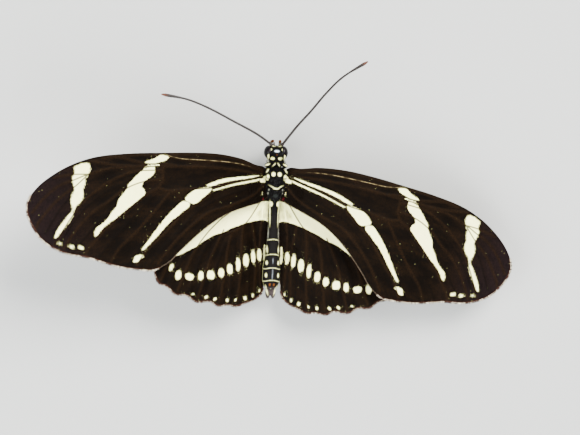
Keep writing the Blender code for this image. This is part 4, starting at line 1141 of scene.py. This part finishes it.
def coat_piece(stretch_name, seed):
    stretch = COAT_STRETCHES[stretch_name]
    count = stretch["count"]
    chance = np.random.default_rng(seed)
    held = (skin_middles[:, 1] > stretch["from"]) & (skin_middles[:, 1] <= stretch["to"])
    weights = np.where(held, skin_areas, 0)
    chosen = skin_corners[chance.choice(len(weights), count, p=weights / weights.sum())]
    shares = chance.random((count, 2, 1))
    front = skin_places[chosen[:, 0]] * (1 - shares[:, 0]) + skin_places[chosen[:, 1]] * shares[:, 0]
    back = skin_places[chosen[:, 3]] * (1 - shares[:, 0]) + skin_places[chosen[:, 2]] * shares[:, 0]
    roots = front * (1 - shares[:, 1]) + back * shares[:, 1]
    ups = unit(skin_out[chosen].mean(1))
    # The coat lies backward, but on the face it stands up and forward.
    face = fade(roots[:, 1], -5.9, -0.5)[:, None]
    lie = np.tile((0.0, 1.0, 0.0), (count, 1)) * (1 - face) + np.array((0.0, -0.4, 0.5)) * face
    lie[:, 2] -= 0.25 * np.clip(-ups[:, 2] + 0.2, 0, 1)
    lie += chance.normal(0, 0.16, lie.shape)
    headings = unit(lie - ups * (lie * ups).sum(1)[:, None])
    under = np.clip(0.45 - ups[:, 2], 0, 1)
    pale = np.clip(body_colours(roots, ups).max(1) / 0.5, 0, 1)
    lengths = stretch["back"] + (stretch["belly"] - stretch["back"]) * under * (1 - 0.5 * pale)
    lengths *= chance.uniform(0.7, 1.25, count) * (1 - 0.30 * pale)
    waist = np.clip(1 - np.abs(roots[:, 1] - WAIST_BACK) / 0.8, 0, 1)
    lengths *= 1 + 0.8 * fade(roots[:, 1], ABDOMEN_BACK, 1.0) + 1.1 * waist
    # A tuft takes the colour under its middle, so that the marks keep their edges.
    colours = body_colours(roots + headings * lengths[:, None] * 0.45, ups)
    pale = np.clip(colours.max(1) / 0.5, 0, 1)
    half_widths = stretch["width"] * chance.uniform(0.8, 1.25, count)
    lift = stretch["lift"] * (1 - 0.5 * pale) * chance.uniform(0.4, 1.5, count)
    # Painted sheen: now and then a dark hair takes the blue grey of light on it.
    hair = (HAIR_BROWN + chance.random((count, 1)) ** 5 * HAIR_SHEEN_GREY) * stretch["hairy"]
    colours = np.maximum(colours * chance.uniform(0.75, 1.2, (count, 1)), hair * (1 - pale[:, None]) * 0.45)
    add_coat(
        f"{stretch_name}_coat", "body", roots - ups * 0.012, headings, ups, lengths, half_widths, colours,
        unwrap(roots), COAT_SHADES, taper=stretch["taper"], lift=lift, bend=0.12,
    )


for seed, stretch_name in enumerate(COAT_STRETCHES):
    coat_piece(stretch_name, seed + 31)

# Eyes
# Two large, glossy, purplish black compound eyes bulge from the sides of the head, each a dome of
# tiny facets, set in the head's skin.
EYE_BLACK = (0.0020, 0.0017, 0.0018)
EYE_PLUM = (0.0055, 0.0030, 0.0034)
EYES_HALF_WIDTH = 2.15
EYE_HALF_SIZES = (0.90, 1.18, 1.24)
eye_facets, paint, shader = new_material("eye_facets")
eye_place = paint.noted("flat", "Vector")
facets = paint.node("TexVoronoi", {"Vector": eye_place, "Scale": 16.0, "Randomness": 0.25})
bands = paint.ramp(paint.noise(paint.stretch(eye_place, (0.6, 1.6, 0.5)), 1.2, 2.0), 0.35, 0.7)
paint.feed(shader, {
    "Base Color": paint.mix(bands, EYE_BLACK, EYE_PLUM), "Roughness": 0.22, "Specular IOR Level": 0.06,
    "Coat Weight": 0.06, "Coat Roughness": 0.08,
    "Normal": paint.bump(facets.outputs["Distance"], 0.35, 0.015, invert=True),
})


def dome(centre, half_sizes, around=72, rings=48):
    """Places and faces of a finely divided egg shape."""
    shape = bmesh.new()
    placing = Matrix.Translation(centre) @ Matrix.Diagonal((*half_sizes, 1.0))
    bmesh.ops.create_uvsphere(shape, u_segments=around, v_segments=rings, radius=1.0, matrix=placing)
    places = np.array([vert.co[:] for vert in shape.verts])
    faces = sorted(tuple(vert.index for vert in face.verts) for face in shape.faces)
    shape.free()
    return places, faces


for word, side in SIDES.items():
    eye_centre = (side * (EYES_HALF_WIDTH - EYE_HALF_SIZES[0]), HEAD_MIDDLE - 0.02, HEAD_HEIGHT - 0.15)
    eye_places, eye_faces = dome(eye_centre, EYE_HALF_SIZES)
    eye = add_piece(f"eye_{word}_dome", eye_places, eye_faces, eye_facets)
    note(eye, "flat", eye_places, "FLOAT_VECTOR")
    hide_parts(f"eye_{word}")

# Antennae
# Each feeler is a long thin shaft of some forty short joints, black brown, that swells near its end
# into a slim club with a reddish tip.
ANTENNA_RADIUS = 0.20
CLUB_RADIUS = 0.32
CLUB_SHARE = 0.17
ANTENNA_JOINTS = 42
ANTENNA_ROUTES = {
    "left": [
        (0.84, -7.0, 0.80), (3.9, -8.9, 1.6), (7.9, -10.8, 2.3),
        (12.4, -12.9, 2.9), (16.4, -14.3, 3.3), (21.0, -15.0, 3.6),
    ],
    "right": [
        (-0.84, -7.0, 0.80), (-3.3, -10.4, 1.7), (-5.7, -13.3, 2.4),
        (-8.2, -16.5, 2.9), (-11.0, -19.4, 3.3), (-15.3, -22.3, 3.6),
    ],
}
SHAFT_BROWN = (0.0070, 0.0045, 0.0036)
JOINT_BROWN = (0.022, 0.016, 0.012)
CLUB_RED = (0.075, 0.022, 0.009)
TUBE_AROUND = 14


def tube(line, radii, around=TUBE_AROUND):
    """Places and faces of a round tube with closed ends, along a line and with its own radius there."""
    run = unit(np.gradient(line, axis=0))
    side = np.cross(run[0], (0.31, 0.17, 0.93))
    places = []
    turns = 2 * pi * np.arange(around) / around
    for point, heading, radius in zip(line, run, radii):
        side = side - heading * (side @ heading)
        side /= np.linalg.norm(side)
        over = np.cross(heading, side)
        places.append(point + radius * (np.outer(np.cos(turns), side) + np.outer(np.sin(turns), over)))
    places = np.vstack([*places, line[:1], line[-1:]])
    faces = []
    last = (len(line) - 1) * around
    for first in range(0, last, around):
        for index in range(around):
            beyond = (index + 1) % around
            faces.append((first + index, first + beyond, first + around + beyond, first + around + index))
    for index in range(around):
        beyond = (index + 1) % around
        faces.append((last + around, beyond, index))
        faces.append((last + around + 1, last + index, last + beyond))
    return places, faces


def round_the_tube(values):
    """A value for each vertex of a tube, from one for each point of its line."""
    return np.append(np.repeat(values, TUBE_AROUND), (0, 1))


antenna_scales, paint, shader = new_material("antenna_scales")
feeler_place = paint.noted("flat", "Vector")
feeler_colour = paint.mix(paint.ramp(paint.noted("along"), 0.93, 0.99), SHAFT_BROWN, CLUB_RED)
ring_tint = paint.ramp(paint.noted("joint"), 0.0, 0.35, 0.6, 0.0)
paint.feed(shader, {
    "Base Color": paint.mix(ring_tint, feeler_colour, JOINT_BROWN),
    "Roughness": paint.ramp(paint.noise(feeler_place, 9.0), 0.3, 0.7, 0.35, 0.6),
    "Specular IOR Level": 0.22,
    "Normal": paint.bump(paint.noise(feeler_place, 22.0, 2.0), 0.4, 0.01),
})

for word, route in ANTENNA_ROUTES.items():
    line = smooth_line([(x, y, ROOT_HEIGHT + z) for x, y, z in route], 0.08)
    along = np.concatenate([[0], np.cumsum(np.linalg.norm(np.diff(line, axis=0), axis=1))])
    along /= along[-1]
    club = np.clip((along - 1 + CLUB_SHARE) / CLUB_SHARE, 0, 1)
    joint = (along * ANTENNA_JOINTS) % 1.0
    girth = ANTENNA_RADIUS * (1.12 - 0.25 * along) + (CLUB_RADIUS - ANTENNA_RADIUS * 0.87) * club**0.8
    girth *= 1 - 0.10 * hump(joint, 0.09) - 0.10 * hump(joint - 1.0, 0.09)
    girth *= np.sqrt(np.clip((1.0 - along) / 0.045, 0.002, 1))
    girth[:6] += 0.10 * np.linspace(1, 0, 6)
    places, faces = tube(line, girth)
    antenna = add_piece(f"antenna_{word}_jointed", places, faces, antenna_scales)
    note(antenna, "flat", places, "FLOAT_VECTOR")
    note(antenna, "along", round_the_tube(along))
    note(antenna, "joint", round_the_tube(joint))
    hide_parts(f"antenna_{word}")

# Drinking tube
# The proboscis is a long tapering tube that the butterfly keeps wound like a watch spring below its
# face. It leaves the mouth between the palps.
COIL_TURNS = 3.5
COIL_OUTER = 0.98
COIL_INNER = 0.16
PROBOSCIS_RADIUS = 0.095
CHITIN_DARK = (0.010, 0.0065, 0.0045)
CHITIN_LIGHT = (0.028, 0.017, 0.010)
coil_y, coil_z = HEAD_FRONT + 0.25, HEAD_HEIGHT - 3.0
angles = np.linspace(0, 2 * pi * COIL_TURNS, 220)
reach = COIL_INNER + (COIL_OUTER - COIL_INNER) * angles / angles[-1]
turn = angles - angles[-1]
coil = np.column_stack([np.zeros(len(angles)), coil_y + reach * np.cos(turn), coil_z + reach * np.sin(turn)])
mouth_points = [
    coil[-1], (0.0, coil_y + 0.97, coil_z + 0.6), (0.0, coil_y + 0.75, coil_z + 1.25),
    (0.0, coil_y + 0.6, HEAD_HEIGHT - 1.2),
]
coil = np.vstack([coil, smooth_line(mouth_points, 0.05)[1:]])
coil_girth = PROBOSCIS_RADIUS * np.linspace(0.45, 1.15, len(coil))
chitin, paint, shader = new_material("brown_chitin")
chitin_place = paint.noted("flat", "Vector")
mottle = paint.ramp(paint.noise(chitin_place, 2.5), 0.3, 0.7)
paint.feed(shader, {
    "Base Color": paint.mix(mottle, CHITIN_DARK, CHITIN_LIGHT),
    "Roughness": paint.ramp(paint.noise(chitin_place, 12.0), 0.3, 0.7, 0.28, 0.5),
    "Specular IOR Level": 0.30,
    "Normal": paint.bump(paint.noise(chitin_place, 25.0, 2.0), 0.4, 0.01),
})
places, faces = tube(coil, coil_girth, 12)
proboscis = add_piece("proboscis_coil", places, faces, chitin)
note(proboscis, "flat", places, "FLOAT_VECTOR")
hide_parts("proboscis")

# Palps
# Two upturned mouth feelers stand before the face, each a short bent limb clothed in orange brown and
# cream bristle scales.
PALP_RADIUS = 0.24
PALP_BRISTLES = 900
PALP_BRISTLE_LENGTH = 0.22
PALP_BRISTLE_HALF_WIDTH = 0.022
PALP_CREAM = np.array((0.50, 0.44, 0.28))
PALP_ORANGE = np.array((0.13, 0.038, 0.010))
PALP_BEND = [
    (0.50, HEAD_FRONT + 1.1, HEAD_HEIGHT - 1.1), (0.78, HEAD_FRONT + 0.2, HEAD_HEIGHT - 1.6),
    (0.80, HEAD_FRONT - 0.45, HEAD_HEIGHT - 1.0), (0.68, HEAD_FRONT - 0.72, HEAD_HEIGHT - 0.2),
    (0.60, HEAD_FRONT - 0.75, HEAD_HEIGHT + 0.5),
]


def palp_colours(along, turning):
    """Cream from a palp's root to its turning place, and orange brown beyond it."""
    tip = fade(along, turning, 0.15)[:, None]
    return PALP_CREAM * (1 - tip) + PALP_ORANGE * tip


for seed, (word, side) in enumerate(SIDES.items()):
    line = smooth_line([(side * x, y, z) for x, y, z in PALP_BEND], 0.08)
    along = np.linspace(0, 1, len(line))
    girth = PALP_RADIUS * (1 - 0.45 * along**3) * np.sqrt(np.clip((1 - along) / 0.12, 0.01, 1))
    girth *= 1 + 0.10 * np.sin(along * 3 * pi) ** 2
    places, faces = tube(line, girth)
    palp = add_piece(f"palp_{word}_limb", places, faces, body_scales)
    note(palp, "flat", places, "FLOAT_VECTOR")
    note_colour(palp, palp_colours(round_the_tube(along), 0.62))
    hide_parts(f"palp_{word}")
    chance = np.random.default_rng(seed + 41)
    picked = chance.integers(2, len(line) - 3, PALP_BRISTLES)
    turns = chance.uniform(0, 2 * pi, PALP_BRISTLES)
    run = unit(np.gradient(line, axis=0)[picked])
    across = unit(np.cross(run, (1.0, 0.0, 0.0)))
    ups = across * np.cos(turns)[:, None] + np.cross(run, across) * np.sin(turns)[:, None]
    roots = line[picked] + ups * (girth[picked] * 0.93)[:, None]
    lengths = PALP_BRISTLE_LENGTH * chance.uniform(0.6, 1.2, PALP_BRISTLES)
    dress = palp_colours(along[picked], 0.55)
    dress[chance.random(PALP_BRISTLES) < 0.22] = BODY_BLACK
    dress = dress * chance.uniform(0.7, 1.15, (PALP_BRISTLES, 1))
    half_widths = np.full(PALP_BRISTLES, PALP_BRISTLE_HALF_WIDTH)
    uvs = np.column_stack([turns / (2 * pi), along[picked]])
    add_coat(f"palp_{word}_coat", "palp", roots, run, ups, lengths, half_widths, dress, uvs, lift=0.45)

# Legs
# Four slender walking legs hold the body up on their toes: a stout hip, a long thigh and shin, and a
# foot of five short joints with two claws. The two forelegs are small and folded under the collar.
LEG_AROUND = 12
SHIN_SPINES = 18
FORELEG_SHARE = 0.62
BEND_REACH = 0.22
# Each leg's joints from the hip to the toe.
MIDLEG = [
    (0.85, -0.7, 3.1), (2.0, -0.9, 2.2), (4.3, -1.2, 4.0), (6.9, -1.7, 0.62), (7.7, -1.85, 0.15),
    (9.35, -2.1, 0.11),
]
HINDLEG = [
    (0.85, 1.2, 3.1), (1.8, 1.9, 2.1), (3.5, 5.4, 4.2), (5.6, 10.3, 0.62), (5.9, 11.1, 0.15),
    (6.68, 13.9, 0.11),
]
FORELEG = [
    (0.60, -2.3, ROOT_HEIGHT - 2.5), (0.75, -3.0, ROOT_HEIGHT - 3.45), (0.8, -4.0, ROOT_HEIGHT - 3.3),
    (0.8, -4.9, ROOT_HEIGHT - 2.75), (0.78, -5.5, ROOT_HEIGHT - 2.4),
]
# How thick the leg is from the hip through the knee and the ankle to the toe.
LEG_GIRTH = [(0.0, 0.34), (0.12, 0.24), (0.20, 0.22), (0.42, 0.19), (0.50, 0.15), (0.78, 0.125), (1.0, 0.095)]


def limb_line(joints, step=0.07):
    """A limb's middle line: straight runs between its joints, with each bend rounded a little."""
    given = np.array(joints, float)
    line = [given[:1]]
    for before, bend, after in zip(given, given[1:], given[2:]):
        inward = bend + (before - bend) / np.linalg.norm(before - bend) * BEND_REACH
        outward = bend + (after - bend) / np.linalg.norm(after - bend) * BEND_REACH
        t = np.linspace(0, 1, 5)[:, None]
        line.append(inward * (1 - t) ** 2 + bend * 2 * t * (1 - t) + outward * t**2)
    line.append(given[-1:])
    corners = np.vstack(line)
    reach = np.concatenate([[0], np.cumsum(np.linalg.norm(np.diff(corners, axis=0), axis=1))])
    marks = np.linspace(0, reach[-1], round(reach[-1] / step))
    line = np.column_stack([np.interp(marks, reach, corners[:, axis]) for axis in range(3)])
    return line, marks / reach[-1]


def spike(root, heading, length, radius):
    """Places and faces of one thin spine or claw, bedded a little in what it grows from."""
    heading = np.array(heading) / np.linalg.norm(heading)
    side = np.cross(heading, (0.2, 0.9, 0.31))
    side /= np.linalg.norm(side)
    over = np.cross(heading, side)
    turns = 2 * pi * np.arange(5) / 5
    ring = root - heading * radius + radius * (np.outer(np.cos(turns), side) + np.outer(np.sin(turns), over))
    places = np.vstack([ring, (root + heading * length)[None]])
    faces = [(index, (index + 1) % 5, 5) for index in range(5)] + [(4, 3, 2, 1, 0)]
    return places, faces


def joined(parts):
    """Several closed shapes as one list of places and faces."""
    places, faces, first = [], [], 0
    for part_places, part_faces in parts:
        places.append(part_places)
        faces += [tuple(index + first for index in face) for face in part_faces]
        first += len(part_places)
    return np.vstack(places), faces


def leg_piece(name, joints, side, folded=False):
    line, along = limb_line(np.array(joints) * (side, 1, 1))
    girth = np.interp(along, *zip(*LEG_GIRTH)) * (FORELEG_SHARE if folded else 1.0)
    if not folded:
        toes = fade(along, 0.80, 0.20)
        girth *= 1 - 0.16 * np.abs(np.sin(toes * 5 * pi + pi / 2)) ** 8 * (toes > 0)
    girth *= np.sqrt(np.clip((1 - along) / 0.012, 0.02, 1))
    parts = [tube(line, girth, LEG_AROUND)]
    run = unit(np.gradient(line, axis=0))
    for number, share in enumerate(np.linspace(0.47, 0.97, 0 if folded else SHIN_SPINES)):
        index = int(np.argmin(np.abs(along - share)))
        out = np.cross(run[index], (0, 0, 1))
        out = out / np.linalg.norm(out) * (1 if number % 2 else -1) + np.array((0, 0, 0.15))
        root = line[index] + out / np.linalg.norm(out) * girth[index] * 0.8
        parts.append(spike(root, out + run[index] * 1.6, 0.22, 0.028))
    for spread in () if folded else (-0.5, 0.5):
        across = np.cross(run[-1], (0, 0, 1))
        parts.append(spike(line[-1] - run[-1] * 0.05, run[-1] + across * spread + (0, 0, -0.12), 0.26, 0.04))
    places, faces = joined(parts)
    leg = add_piece(f"{name}_jointed", places, faces, chitin)
    note(leg, "flat", places, "FLOAT_VECTOR")
    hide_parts(name)


for word, side in SIDES.items():
    leg_piece(f"midleg_{word}", MIDLEG, side)
    leg_piece(f"hindleg_{word}", HINDLEG, side)
    leg_piece(f"foreleg_{word}", FORELEG, side, folded=True)
